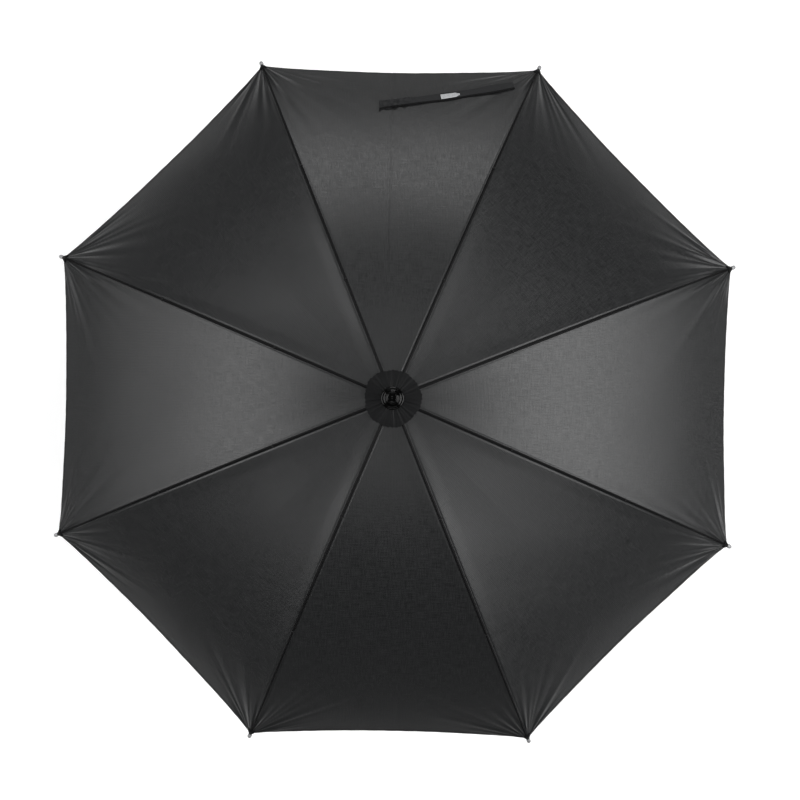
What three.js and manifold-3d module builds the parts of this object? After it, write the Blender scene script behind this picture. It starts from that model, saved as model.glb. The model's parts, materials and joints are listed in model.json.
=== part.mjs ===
// Golf umbrella, standing open: eight ribs and stretchers on a round shaft, a panelled canopy, a grip.
// Millimetres. The shaft runs along +Z and the origin is the middle of the hand grip.

import * as THREE from "three";
import { mergeVertices } from "three/addons/utils/BufferGeometryUtils.js";
import Module from "manifold-3d";

const wasm = await Module();
wasm.setup();

// Driving dimensions.
const RIB_COUNT = 8;
const PITCH = (2 * Math.PI) / RIB_COUNT;
const HALF_PITCH = PITCH / 2;
const FIRST_RIB = HALF_PITCH;

const GAP = 0.4; // clearance between neighbouring pieces
const SHAFT_RADIUS = 7;
const SHAFT_WALL = 1;
const SHAFT_BOTTOM = -60;
const SHAFT_TOP = 868;
const BORE_RADIUS = SHAFT_RADIUS + GAP;

const GRIP_BOTTOM = -70;
const GRIP_TOP = 105;
const END_CAP_BOTTOM = -75;

const CROWN_Z = 838; // height of the ring that the ribs turn on
const FOLD_ANGLE = THREE.MathUtils.degToRad(61); // how far the ribs turn from open to shut
const PIVOT_RADIUS = 13; // radius of both wire rings
const WIRE_RADIUS = 0.7;
const NOTCH_RADIUS = 15.5;
const NOTCH_TALL_SIDE = 7;
const NOTCH_SHORT_SIDE = 3;
const SLOT_WIDTH = 2.6;
const SLOT_INNER_RADIUS = 9.5;
const GROOVE_RADIUS = 11.2;
const GROOVE_HEIGHT = 2.2;

const RIB_ARC_RADIUS = 920;
const RIB_START_SLOPE = THREE.MathUtils.degToRad(5);
const RIB_INNER_RADIUS = 2.3;
const RIB_OUTER_RADIUS = 1.7;
const STATION = 44; // spacing of the bends along a rib
const ROD_START = 10;
const ROD_STEP = 10 * STATION; // where the inner tube ends and the slim rod goes on
const ROD_END = 715.5;
const TIP_START = 716;
const TIP_END = 742;
const TIP_RADIUS = 2.5;
const TIP_NECK_RADIUS = 1.9;

const EYE_THICKNESS = 1.6;
const EYE_RADIUS = 2.6;
const EYE_HOLE_RADIUS = WIRE_RADIUS + GAP;
const EYE_NECK = 3.4;

const JOINT_STATION = 8 * STATION; // where the stretcher meets the rib
const JOINT_DROP = 7; // stretcher pin below the rib's middle
const JOINT_LENGTH = 14;
const JOINT_HALF_WIDTH = 3.8;
const JOINT_BORE_RADIUS = 2.9;
const JOINT_FLOOR = 3.6;
const JOINT_RIM = 1;
const LUG_THICKNESS = 1.8;
const PIN_RADIUS = 1;
const PIN_LENGTH = 6.4;
const PIN_HOLE_RADIUS = PIN_RADIUS + GAP;

const STRETCHER_RADIUS = 2;
const CHEEK_THICKNESS = 1.2;
const CHEEK_RADIUS = 2.8;
const CHEEK_INSIDE = LUG_THICKNESS / 2 + GAP;
const FORK_BRIDGE = 6;

const RUNNER_SLEEVE = 45;
const RUNNER_RADIUS = 12;
const RUNNER_SKIRT_RADIUS = 14;
const WINDOW_TOP = 19;
const WINDOW_BOTTOM = 39;
const WINDOW_WIDTH = 6;

const CATCH_WIDTH = 3.8;
const CATCH_REACH = 9.6;
const CATCH_ROOT = 2;
const CATCH_NECK = 6;
const CATCH_LENGTH = 14;

const FABRIC_THICKNESS = 1.2;
const FABRIC_START = 4.5;
const FABRIC_END = 724;
const FABRIC_OFFSET = RIB_INNER_RADIUS + GAP + FABRIC_THICKNESS / 2 + 0.1;
const SEAM_HALF_GAP = 0.15;
const PANEL_SAG = 0.016; // how far a panel dips between its ribs, as a share of its radius
const HEM_DIP = 7; // how far the hem draws in halfway between two tips

const ROSETTE_RADIUS = 48;
const ROSETTE_BORE = 8.2;
const ROSETTE_THICKNESS = 1.2;
const ROSETTE_OFFSET = FABRIC_OFFSET + FABRIC_THICKNESS / 2 + 0.5 + ROSETTE_THICKNESS / 2;

const FERRULE_BASE = 844.2;
const FERRULE_BORE_TOP = 872;
const FERRULE_TOP = 925;
const FERRULE_DISH = 1.6;

const STRAP_WIDTH = 19;
const STRAP_THICKNESS = 1.6;
const STRAP_GAP = 0.8;
const STRAP_FROM = new THREE.Vector2(214, 561); // sewn end, seen from above
const STRAP_TO = new THREE.Vector2(4, 534); // free end, seen from above

const material = (colour, roughness, metalness) =>
  new THREE.MeshStandardMaterial({ color: colour, roughness, metalness });
const finish = {
  steel: () => material(0x2b2c2e, 0.35, 0.8),
  rib: () => material(0x1d1e20, 0.4, 0.3),
  nickel: () => material(0xc9cbcc, 0.25, 1),
  nylon: () => material(0x141416, 0.5, 0),
  gloss: () => material(0x0b0b0d, 0.12, 0),
  foam: () => material(0x1a1a1c, 0.85, 0),
  cloth: () => material(0x17181a, 0.6, 0),
};

// Solids -------------------------------------------------------------------------------------

const signedVolume = (position, index) => {
  const corner = [new THREE.Vector3(), new THREE.Vector3(), new THREE.Vector3()];
  let sum = 0;
  for (let i = 0; i < index.length; i += 3) {
    corner.forEach((c, k) => c.fromBufferAttribute(position, index[i + k]));
    sum += corner[0].dot(corner[1].clone().cross(corner[2]));
  }
  return sum / 6;
};

// A geometry as one closed skin: shared corners merged, empty triangles dropped, faces out.
const closed = (geometry) => {
  const bare = geometry.clone();
  bare.deleteAttribute("normal");
  bare.deleteAttribute("uv");
  const merged = mergeVertices(bare, 1e-4);
  const index = [];
  for (let i = 0; i < merged.index.count; i += 3) {
    const [a, b, c] = [0, 1, 2].map((k) => merged.index.getX(i + k));
    if (a !== b && b !== c && c !== a) index.push(a, b, c);
  }
  if (signedVolume(merged.attributes.position, index) < 0) index.reverse();
  merged.setIndex(index);
  return merged;
};

const toManifold = (geometry) => {
  const skin = closed(geometry);
  return new wasm.Manifold(
    new wasm.Mesh({
      numProp: 3,
      vertProperties: new Float32Array(skin.attributes.position.array),
      triVerts: new Uint32Array(skin.index.array),
    }),
  );
};

const fromManifold = (solid) => {
  const mesh = solid.getMesh();
  const geometry = new THREE.BufferGeometry();
  geometry.setAttribute("position", new THREE.BufferAttribute(mesh.vertProperties, 3));
  geometry.setIndex(Array.from(mesh.triVerts));
  return geometry;
};

const join = (...geometries) =>
  fromManifold(geometries.map(toManifold).reduce((sum, next) => sum.add(next)));
const cut = (geometry, ...tools) =>
  fromManifold(tools.map(toManifold).reduce((rest, tool) => rest.subtract(tool), toManifold(geometry)));

// A profile of [radius, height] points turned about Z.
const turned = (profile, sides) =>
  new THREE.LatheGeometry(profile.map(([r, z]) => new THREE.Vector2(r, z)), sides).rotateX(Math.PI / 2);
const turnedRing = (profile, sides) => turned([...profile, profile[0]], sides);

// A box from its lowest and highest corners.
const block = (low, high) => {
  const size = high.map((value, axis) => value - low[axis]);
  const middle = high.map((value, axis) => (value + low[axis]) / 2);
  return new THREE.BoxGeometry(...size).translate(...middle);
};

// A disc whose axis runs along Y.
const disc = (radius, thickness, x, z, sides = 10) =>
  new THREE.CylinderGeometry(radius, radius, thickness, sides).translate(x, 0, z);

// The rib's line, in the plane of one rib: X outwards, Y sideways, Z up --------------------------

const slopeAt = (s) => RIB_START_SLOPE + s / RIB_ARC_RADIUS;

const ribPoint = (s, offset = 0) => {
  const slope = slopeAt(s);
  const x = PIVOT_RADIUS + RIB_ARC_RADIUS * (Math.sin(slope) - Math.sin(RIB_START_SLOPE));
  const z = CROWN_Z - RIB_ARC_RADIUS * (Math.cos(RIB_START_SLOPE) - Math.cos(slope));
  return [x + offset * Math.sin(slope), z + offset * Math.cos(slope)];
};

const stationsBetween = (from, to) => {
  const places = [from];
  for (let s = STATION * Math.ceil((from + 1) / STATION); s < to - 1; s += STATION) places.push(s);
  places.push(to);
  return places;
};

// A round bar along the rib's line, from [distance, radius] pairs.
const barAlongRib = (profile, sides = 6) => {
  const outline = [[profile[0][0], 0], ...profile, [profile.at(-1)[0], 0]];
  const bar = new THREE.LatheGeometry(outline.map(([s, r]) => new THREE.Vector2(r, s)), sides);
  const place = bar.attributes.position;
  for (let i = 0; i < place.count; i += 1) {
    const [x, z] = ribPoint(place.getY(i), place.getZ(i));
    place.setXYZ(i, x, place.getX(i), z);
  }
  return bar;
};

const stretcherPin = () => {
  const [x, z] = ribPoint(JOINT_STATION, -JOINT_DROP);
  return { x, z };
};
const runnerPivotZ = () => 2 * stretcherPin().z - CROWN_Z;

// Parts of one rib station ----------------------------------------------------------------------

// The flat neck between an eye and its rod.
const eyeNeck = () =>
  block([0, -EYE_THICKNESS / 2, -EYE_NECK / 2], [ROD_START + 3, EYE_THICKNESS / 2, EYE_NECK / 2]);

const ribGeometry = () => {
  const rod = barAlongRib([
    ...stationsBetween(ROD_START, ROD_STEP).map((s) => [s, RIB_INNER_RADIUS]),
    ...stationsBetween(ROD_STEP + 1, ROD_END).map((s) => [s, RIB_OUTER_RADIUS]),
  ]);
  const neck = eyeNeck()
    .rotateY(slopeAt(ROD_START / 2))
    .translate(PIVOT_RADIUS, 0, CROWN_Z);
  const eye = disc(EYE_RADIUS, EYE_THICKNESS, PIVOT_RADIUS, CROWN_Z);
  const hole = disc(EYE_HOLE_RADIUS, 2 * EYE_THICKNESS, PIVOT_RADIUS, CROWN_Z, 8);
  return cut(join(rod, neck, eye), hole);
};

const tipGeometry = () => {
  const ball = TIP_END - 2 * TIP_RADIUS;
  return barAlongRib(
    [
      [TIP_START, TIP_RADIUS],
      [TIP_START + 9, TIP_RADIUS],
      [TIP_START + 11, TIP_NECK_RADIUS],
      [ball, TIP_NECK_RADIUS],
      [ball + 1, TIP_RADIUS],
      [TIP_END - 1, TIP_RADIUS],
      [TIP_END, TIP_RADIUS / 2],
    ],
    8,
  );
};

const ribJointGeometry = () => {
  const half = JOINT_LENGTH / 2;
  const saddle = block([-half, -JOINT_HALF_WIDTH, -JOINT_FLOOR], [half, JOINT_HALF_WIDTH, JOINT_RIM]);
  const bore = new THREE.CylinderGeometry(JOINT_BORE_RADIUS, JOINT_BORE_RADIUS, 2 * JOINT_LENGTH, 8)
    .rotateZ(Math.PI / 2);
  const mouth = block([-JOINT_LENGTH, -JOINT_BORE_RADIUS, 0], [JOINT_LENGTH, JOINT_BORE_RADIUS, 3]);
  const neck = block(
    [-EYE_RADIUS, -LUG_THICKNESS / 2, -JOINT_DROP],
    [EYE_RADIUS, LUG_THICKNESS / 2, -JOINT_FLOOR + 0.4],
  );
  const lug = disc(EYE_RADIUS, LUG_THICKNESS, 0, -JOINT_DROP);
  const pin = disc(PIN_RADIUS, PIN_LENGTH, 0, -JOINT_DROP, 8);
  return join(cut(saddle, bore, mouth), neck, lug, pin);
};

const stretcherGeometry = (length) => {
  const rod = new THREE.CylinderGeometry(STRETCHER_RADIUS, STRETCHER_RADIUS, length - 9 - ROD_START, 8)
    .rotateZ(Math.PI / 2)
    .translate((length - 9 + ROD_START) / 2, 0, 0);
  const neck = eyeNeck();
  const outside = CHEEK_INSIDE + CHEEK_THICKNESS;
  const bridge = block(
    [length - 2 * FORK_BRIDGE, -outside, -STRETCHER_RADIUS],
    [length - FORK_BRIDGE, outside, STRETCHER_RADIUS],
  );
  const cheeks = [-1, 1].flatMap((side) => {
    const middle = side * (CHEEK_INSIDE + CHEEK_THICKNESS / 2);
    const low = middle - CHEEK_THICKNESS / 2;
    const high = middle + CHEEK_THICKNESS / 2;
    return [
      block([length - FORK_BRIDGE - 1, low, -STRETCHER_RADIUS], [length, high, STRETCHER_RADIUS]),
      disc(CHEEK_RADIUS, CHEEK_THICKNESS, length, 0).translate(0, middle, 0),
    ];
  });
  const body = join(rod, neck, disc(EYE_RADIUS, EYE_THICKNESS, 0, 0), bridge, ...cheeks);
  return cut(body, disc(EYE_HOLE_RADIUS, 4, 0, 0, 8), disc(PIN_HOLE_RADIUS, 8, length, 0, 8));
};

// Canopy ----------------------------------------------------------------------------------------

// A point of the half panel that lies beside a rib at azimuth 0: s along the rib, v from the rib's
// seam (0) to the panel's middle line (1), rise above the cloth's own middle surface.
const canopyPoint = (s, v, rise, sideGap) => {
  const dip = 1 - (1 - v) ** 2;
  const along = s * (1 - (HEM_DIP / FABRIC_END) * dip);
  const slope = slopeAt(along);
  const [radius, z] = ribPoint(along, FABRIC_OFFSET);
  const acrossX = 1 + v * (Math.cos(HALF_PITCH) ** 2 - 1);
  const acrossY = v * Math.cos(HALF_PITCH) * Math.sin(HALF_PITCH);
  const sag = PANEL_SAG * radius * dip;
  const turn = HALF_PITCH * v;
  const lift = rise * Math.sin(slope);
  const drawn = sag * Math.sin(slope);
  return new THREE.Vector3(
    radius * acrossX - drawn * Math.cos(HALF_PITCH) + lift * Math.cos(turn) - sideGap * Math.sin(turn),
    radius * acrossY - drawn * Math.sin(HALF_PITCH) + lift * Math.sin(turn) + sideGap * Math.cos(turn),
    z + (rise - sag) * Math.cos(slope),
  );
};

const halfPanelGeometry = (side) => {
  const stations = stationsBetween(FABRIC_START, FABRIC_END);
  const steps = stations.length - 1;
  const shell = new THREE.BoxGeometry(1, 1, 1, steps, 2, 1);
  const place = shell.attributes.position;
  for (let i = 0; i < place.count; i += 1) {
    const s = stations[Math.round((place.getX(i) + 0.5) * steps)];
    const v = place.getY(i) + 0.5;
    const sideGap = SEAM_HALF_GAP * (1 - 2 * v);
    const point = canopyPoint(s, v, place.getZ(i) * FABRIC_THICKNESS, sideGap);
    place.setXYZ(i, point.x, side * point.y, point.z);
  }
  return shell;
};

const rosetteGeometry = () => {
  const edge = [4, 14, 24, ROSETTE_RADIUS - PIVOT_RADIUS];
  const skin = (offset) => edge.map((s) => ribPoint(s, offset));
  const low = ROSETTE_OFFSET - ROSETTE_THICKNESS / 2;
  const high = ROSETTE_OFFSET + ROSETTE_THICKNESS / 2;
  const under = [[ROSETTE_BORE, ribPoint(edge[0], low)[1]], ...skin(low)];
  const over = [[ROSETTE_BORE, ribPoint(edge[0], high)[1]], ...skin(high)];
  return turnedRing([...under, ...over.reverse()], 16);
};

// Height of the cloth's outer side above a point of the panel that is centred on azimuth 90 degrees.
const clothHeight = (x, y) => {
  const across = Math.min(1, Math.abs(Math.atan2(x, y)) / HALF_PITCH);
  const v = 1 - across;
  let low = FABRIC_START;
  let high = FABRIC_END + HEM_DIP;
  const radius = Math.hypot(x, y);
  for (let step = 0; step < 30; step += 1) {
    const middle = (low + high) / 2;
    const point = canopyPoint(middle, v, FABRIC_THICKNESS / 2, 0);
    if (Math.hypot(point.x, point.y) < radius) low = middle;
    else high = middle;
  }
  return canopyPoint(low, v, FABRIC_THICKNESS / 2, 0).z;
};

// The strap, laid on the cloth of the panel that is centred on azimuth 90 degrees.
const strapGeometry = () => {
  const steps = 8;
  const shell = new THREE.BoxGeometry(1, 1, 1, steps, 1, 1);
  const run = STRAP_TO.clone().sub(STRAP_FROM);
  const side = new THREE.Vector2(-run.y, run.x).normalize();
  const place = shell.attributes.position;
  for (let i = 0; i < place.count; i += 1) {
    const spot = STRAP_FROM.clone()
      .addScaledVector(run, place.getX(i) + 0.5)
      .addScaledVector(side, place.getY(i) * STRAP_WIDTH);
    const rise = STRAP_GAP + (place.getZ(i) + 0.5) * STRAP_THICKNESS;
    place.setXYZ(i, spot.x, spot.y, clothHeight(spot.x, spot.y) + rise);
  }
  return shell;
};

// Shaft, crown, runner, handle --------------------------------------------------------------------

const ringGeometry = (z) => new THREE.TorusGeometry(PIVOT_RADIUS, WIRE_RADIUS, 6, 24).translate(0, 0, z);

const notchCuts = (z, slotLow, slotHigh) => {
  const reach = NOTCH_RADIUS + 2;
  const groove = turnedRing(
    [
      [GROOVE_RADIUS, z - GROOVE_HEIGHT / 2],
      [reach, z - GROOVE_HEIGHT / 2],
      [reach, z + GROOVE_HEIGHT / 2],
      [GROOVE_RADIUS, z + GROOVE_HEIGHT / 2],
    ],
    32,
  );
  const slots = Array.from({ length: RIB_COUNT }, (_, k) =>
    block([SLOT_INNER_RADIUS, -SLOT_WIDTH / 2, slotLow], [reach, SLOT_WIDTH / 2, slotHigh])
      .rotateZ(FIRST_RIB + k * PITCH),
  );
  return [groove, ...slots];
};

const crownGeometry = () => {
  const low = CROWN_Z - NOTCH_TALL_SIDE;
  const high = CROWN_Z + NOTCH_SHORT_SIDE;
  const blank = turnedRing(
    [
      [BORE_RADIUS, low],
      [NOTCH_RADIUS, low],
      [NOTCH_RADIUS, high],
      [BORE_RADIUS, high],
    ],
    32,
  );
  return cut(blank, ...notchCuts(CROWN_Z, low - 1, high + 1));
};

const runnerGeometry = () => {
  const z = runnerPivotZ();
  const top = z + NOTCH_SHORT_SIDE;
  const shoulder = z - NOTCH_TALL_SIDE;
  const bottom = z - RUNNER_SLEEVE;
  const blank = turnedRing(
    [
      [BORE_RADIUS, bottom],
      [RUNNER_SKIRT_RADIUS, bottom],
      [RUNNER_SKIRT_RADIUS, bottom + 3],
      [RUNNER_RADIUS, bottom + 6],
      [RUNNER_RADIUS, shoulder - 3],
      [NOTCH_RADIUS, shoulder],
      [NOTCH_RADIUS, top],
      [BORE_RADIUS, top],
    ],
    32,
  );
  const window = block([0, -WINDOW_WIDTH / 2, z - WINDOW_BOTTOM], [20, WINDOW_WIDTH / 2, z - WINDOW_TOP]);
  return cut(blank, window, ...notchCuts(z, shoulder + 1, top + 1));
};

// A spring catch: a flat face that stops the runner, a ramp that lets it pass the other way.
const catchGeometry = (stopZ, rampWay) => {
  const outline = new THREE.Shape([
    new THREE.Vector2(CATCH_ROOT, 0),
    new THREE.Vector2(CATCH_REACH, 0),
    new THREE.Vector2(CATCH_REACH, 2),
    new THREE.Vector2(CATCH_NECK, CATCH_LENGTH),
    new THREE.Vector2(CATCH_ROOT, CATCH_LENGTH),
  ]);
  const solid = new THREE.ExtrudeGeometry(outline, { depth: CATCH_WIDTH, bevelEnabled: false });
  const place = solid.attributes.position;
  for (let i = 0; i < place.count; i += 1) {
    place.setXYZ(i, place.getX(i), place.getZ(i) - CATCH_WIDTH / 2, stopZ + rampWay * place.getY(i));
  }
  return solid;
};

const openCatch = () => ({ stop: runnerPivotZ() - RUNNER_SLEEVE - GAP, ramp: -1 });
// Height of the runner's pivot ring with the umbrella shut.
const shutPivotZ = () => {
  const pin = stretcherPin();
  const reach = Math.hypot(pin.x - PIVOT_RADIUS, CROWN_Z - pin.z);
  const droop = Math.atan2(CROWN_Z - pin.z, pin.x - PIVOT_RADIUS) + FOLD_ANGLE;
  return CROWN_Z - 2 * reach * Math.sin(droop);
};
const shutCatch = () => ({ stop: shutPivotZ() - WINDOW_BOTTOM + 3, ramp: 1 });

const shaftGeometry = () => {
  const inner = SHAFT_RADIUS - SHAFT_WALL;
  const tube = turnedRing(
    [[inner, SHAFT_BOTTOM], [SHAFT_RADIUS, SHAFT_BOTTOM], [SHAFT_RADIUS, SHAFT_TOP], [inner, SHAFT_TOP]],
    32,
  );
  const slots = [openCatch(), shutCatch()].map(({ stop, ramp }) => {
    const ends = [stop - ramp, stop + ramp * (CATCH_LENGTH + 1)].sort((a, b) => a - b);
    return block([0, -CATCH_WIDTH / 2 - GAP, ends[0]], [10, CATCH_WIDTH / 2 + GAP, ends[1]]);
  });
  return cut(tube, ...slots);
};

const ferruleGeometry = () =>
  turned(
    [
      [0, FERRULE_BORE_TOP],
      [BORE_RADIUS, FERRULE_BORE_TOP],
      [BORE_RADIUS, FERRULE_BASE],
      [19, FERRULE_BASE],
      [19, FERRULE_BASE + 3],
      [17.6, FERRULE_BASE + 4.5],
      [12.6, FERRULE_BASE + 6],
      [11.6, FERRULE_BASE + 14],
      [9.4, FERRULE_BASE + 36],
      [8.8, FERRULE_TOP - 17],
      [9.8, FERRULE_TOP - 11],
      [9.8, FERRULE_TOP - 0.8],
      [9, FERRULE_TOP],
      [7.6, FERRULE_TOP],
      [6.6, FERRULE_TOP - FERRULE_DISH],
      [0, FERRULE_TOP - FERRULE_DISH],
    ],
    32,
  );

const gripGeometry = () =>
  turnedRing(
    [
      [BORE_RADIUS, GRIP_BOTTOM],
      [15.5, GRIP_BOTTOM],
      [17, GRIP_BOTTOM + 6],
      [17.5, GRIP_BOTTOM + 30],
      [16.4, 0],
      [16, 60],
      [14, GRIP_TOP - 14],
      [10.5, GRIP_TOP],
      [BORE_RADIUS, GRIP_TOP],
    ],
    24,
  );

const endCapGeometry = () =>
  turned(
    [
      [0, END_CAP_BOTTOM],
      [13.5, END_CAP_BOTTOM],
      [15.5, END_CAP_BOTTOM + 2],
      [15.5, GRIP_BOTTOM - GAP],
      [SHAFT_RADIUS, GRIP_BOTTOM - GAP],
      [SHAFT_RADIUS, SHAFT_BOTTOM - GAP],
      [0, SHAFT_BOTTOM - GAP],
    ],
    24,
  );

// Assembly ----------------------------------------------------------------------------------------

const umbrella = new THREE.Group();

const add = (parent, name, geometry, look) => {
  const mesh = new THREE.Mesh(closed(geometry), look());
  mesh.name = name;
  parent.add(mesh);
  return mesh;
};

const pin = stretcherPin();
const stretcherLength = Math.hypot(pin.x - PIVOT_RADIUS, pin.z - runnerPivotZ());
const stretcherRise = Math.atan2(pin.z - runnerPivotZ(), pin.x - PIVOT_RADIUS);
const [saddleX, saddleZ] = ribPoint(JOINT_STATION);

for (let k = 1; k <= RIB_COUNT; k += 1) {
  const station = new THREE.Group();
  station.rotation.z = FIRST_RIB + (k - 1) * PITCH;
  umbrella.add(station);
  add(station, `rib_${k}`, ribGeometry(), finish.rib);
  add(station, `rib_tip_${k}`, tipGeometry(), finish.nickel);
  const joint = add(station, `rib_joint_${k}`, ribJointGeometry(), finish.nylon);
  joint.position.set(saddleX, 0, saddleZ);
  joint.rotation.y = slopeAt(JOINT_STATION);
  const stretcher = add(station, `stretcher_${k}`, stretcherGeometry(stretcherLength), finish.steel);
  stretcher.position.set(PIVOT_RADIUS, 0, runnerPivotZ());
  stretcher.rotation.y = -stretcherRise;
  add(station, `panel_${k}_cw`, halfPanelGeometry(1), finish.cloth);
  add(station, `panel_${k === 1 ? RIB_COUNT : k - 1}_ccw`, halfPanelGeometry(-1), finish.cloth);
}

add(umbrella, "shaft", shaftGeometry(), finish.steel);
add(umbrella, "crown", crownGeometry(), finish.nylon);
add(umbrella, "crown_wire", ringGeometry(CROWN_Z), finish.nickel);
add(umbrella, "runner", runnerGeometry(), finish.nylon);
add(umbrella, "runner_wire", ringGeometry(runnerPivotZ()), finish.nickel);
add(umbrella, "top_catch", catchGeometry(openCatch().stop, openCatch().ramp), finish.nickel);
add(umbrella, "bottom_catch", catchGeometry(shutCatch().stop, shutCatch().ramp), finish.nickel);
add(umbrella, "rosette", rosetteGeometry(), finish.cloth);
add(umbrella, "ferrule", ferruleGeometry(), finish.gloss);
add(umbrella, "handle_grip", gripGeometry(), finish.foam);
add(umbrella, "handle_end_cap", endCapGeometry(), finish.nylon);
add(umbrella, "tie_strap", strapGeometry(), finish.cloth);

export default umbrella;
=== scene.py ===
"""Golf umbrella standing open, seen along its shaft from above the ferrule.

The frame holds the mechanism. This file makes the cloth, its sewing and the fine pieces, and
dresses everything. Lengths are metres; MM turns a size in millimetres into metres.
"""

import json
import logging
import math
import random
from collections.abc import Callable, Sequence
from dataclasses import dataclass, field
from enum import Enum

import bpy
import numpy as np
from mathutils import Matrix, Vector

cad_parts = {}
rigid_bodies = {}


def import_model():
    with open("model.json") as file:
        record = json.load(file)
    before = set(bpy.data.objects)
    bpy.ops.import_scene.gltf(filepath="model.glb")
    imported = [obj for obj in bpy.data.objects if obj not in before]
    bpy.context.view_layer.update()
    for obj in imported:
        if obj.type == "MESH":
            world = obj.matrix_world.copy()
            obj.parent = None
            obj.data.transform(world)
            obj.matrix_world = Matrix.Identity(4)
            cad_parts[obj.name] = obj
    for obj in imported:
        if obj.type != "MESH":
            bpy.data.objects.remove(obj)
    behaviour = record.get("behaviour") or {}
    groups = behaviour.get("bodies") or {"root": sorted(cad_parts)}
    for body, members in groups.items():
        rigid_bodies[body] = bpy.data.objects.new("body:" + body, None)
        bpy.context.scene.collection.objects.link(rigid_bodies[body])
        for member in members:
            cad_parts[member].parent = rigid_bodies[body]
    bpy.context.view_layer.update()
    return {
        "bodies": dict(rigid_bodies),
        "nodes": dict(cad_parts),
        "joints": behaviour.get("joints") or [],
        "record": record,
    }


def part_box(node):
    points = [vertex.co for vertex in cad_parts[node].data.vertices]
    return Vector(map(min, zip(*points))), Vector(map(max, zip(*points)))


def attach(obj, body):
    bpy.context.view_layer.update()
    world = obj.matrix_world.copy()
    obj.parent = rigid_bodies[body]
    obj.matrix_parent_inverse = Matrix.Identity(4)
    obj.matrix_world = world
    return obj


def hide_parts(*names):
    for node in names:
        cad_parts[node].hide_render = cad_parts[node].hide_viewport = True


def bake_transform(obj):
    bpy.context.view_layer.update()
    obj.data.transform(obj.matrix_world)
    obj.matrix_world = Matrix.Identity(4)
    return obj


LOG = logging.getLogger("golf_umbrella")
MM = 0.001
RIB_COUNT = 8
PITCH = 2 * math.pi / RIB_COUNT
HALF_PITCH = PITCH / 2
CLOTH_MAP = "cloth"
SHAFT_BORE = 7.4 * MM  # radius of the hole in the crown, the runner, the ferrule and the grip
ROUND = 96  # faces round a turned body
SHEET_ANGLE = 60  # degrees, for the edges of a sheet
BAND_SCALE = 6.28  # makes a ridge and a groove of a wave texture each about as wide as asked

Profile = Sequence[tuple[float, float]]
Piece = bpy.types.Object
Material = bpy.types.Material
Tree = bpy.types.NodeTree
Node = bpy.types.Node
Socket = bpy.types.NodeSocket


class Side(Enum):
    """The two halves of a panel, as seen from above."""

    CW = 1
    CCW = -1


# ------------------------------------------------------------------------------------------------
# Modelling helpers
# ------------------------------------------------------------------------------------------------


def deselect() -> None:
    """Leave edit mode and clear the selection, so an operator acts on its own piece only."""
    if bpy.context.object and bpy.context.object.mode != "OBJECT":
        bpy.ops.object.mode_set(mode="OBJECT")
    bpy.ops.object.select_all(action="DESELECT")


def pick(piece: Piece) -> None:
    """Make one piece the only selected and active one."""
    deselect()
    piece.select_set(True)
    bpy.context.view_layer.objects.active = piece


def settle(piece: Piece, name: str) -> Piece:
    """Name a piece and put its place into its mesh.

    Args:
        piece: the new object.
        name: its name.

    Returns:
        The same object, at the origin.
    """
    deselect()
    piece.name = name
    piece.data.name = name
    piece.data.transform(piece.matrix_world)
    piece.matrix_world = Matrix.Identity(4)
    return piece


def modify(piece: Piece, kind: str, **settings: object) -> None:
    """Add a modifier and apply it.

    Args:
        piece: the object that it changes.
        kind: the modifier's type.
        settings: its properties.
    """
    pick(piece)
    modifier = piece.modifiers.new(kind.lower(), kind)
    for key, value in settings.items():
        setattr(modifier, key, value)
    bpy.ops.object.modifier_apply(modifier=modifier.name)


def carve(piece: Piece, tool: Piece, operation: str = "DIFFERENCE") -> None:
    """Cut a tool out of a piece, or join it on, and remove the tool.

    Args:
        piece: the solid that stays.
        tool: the solid that cuts or joins.
        operation: DIFFERENCE or UNION.
    """
    modify(piece, "BOOLEAN", object=tool, operation=operation, solver="EXACT")
    bpy.data.objects.remove(tool)


def smooth(piece: Piece, angle: float = 35) -> Piece:
    """Shade a piece smooth.

    Args:
        piece: the object.
        angle: the angle in degrees from which two faces meet in a sharp edge.

    Returns:
        The same object.
    """
    pick(piece)
    bpy.ops.object.shade_smooth_by_angle(angle=math.radians(angle))
    deselect()
    return piece


def edit_all(piece: Piece) -> None:
    """Enter edit mode on a piece with everything selected."""
    pick(piece)
    bpy.ops.object.mode_set(mode="EDIT")
    bpy.ops.mesh.select_all(action="SELECT")


def tidy_shell(piece: Piece, near: float = 0.01 * MM) -> None:
    """Merge doubled corners and turn the faces outwards.

    Args:
        piece: a closed piece.
        near: corners closer than this become one.
    """
    edit_all(piece)
    bpy.ops.mesh.remove_doubles(threshold=near)
    bpy.ops.mesh.normals_make_consistent(inside=False)
    bpy.ops.object.mode_set(mode="OBJECT")


def turn_over(sheet: Piece) -> None:
    """Flip every face of a sheet."""
    edit_all(sheet)
    bpy.ops.mesh.flip_normals()
    deselect()


def thicken(sheet: Piece, thickness: float) -> Piece:
    """Give a sheet its thickness on the underside, and shade it smooth."""
    modify(sheet, "SOLIDIFY", thickness=thickness, offset=-1)
    return smooth(sheet, SHEET_ANGLE)


def unit_grid(name: str, rows: int, columns: int) -> Piece:
    """A flat grid from 0 to 1 each way, which a formula then lays in place.

    Args:
        name: the piece's name.
        rows: cells along X.
        columns: cells along Y.

    Returns:
        The grid.
    """
    deselect()
    bpy.ops.mesh.primitive_grid_add(
        x_subdivisions=rows, y_subdivisions=columns, size=1, location=(0.5, 0.5, 0)
    )
    return settle(bpy.context.object, name)


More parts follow.
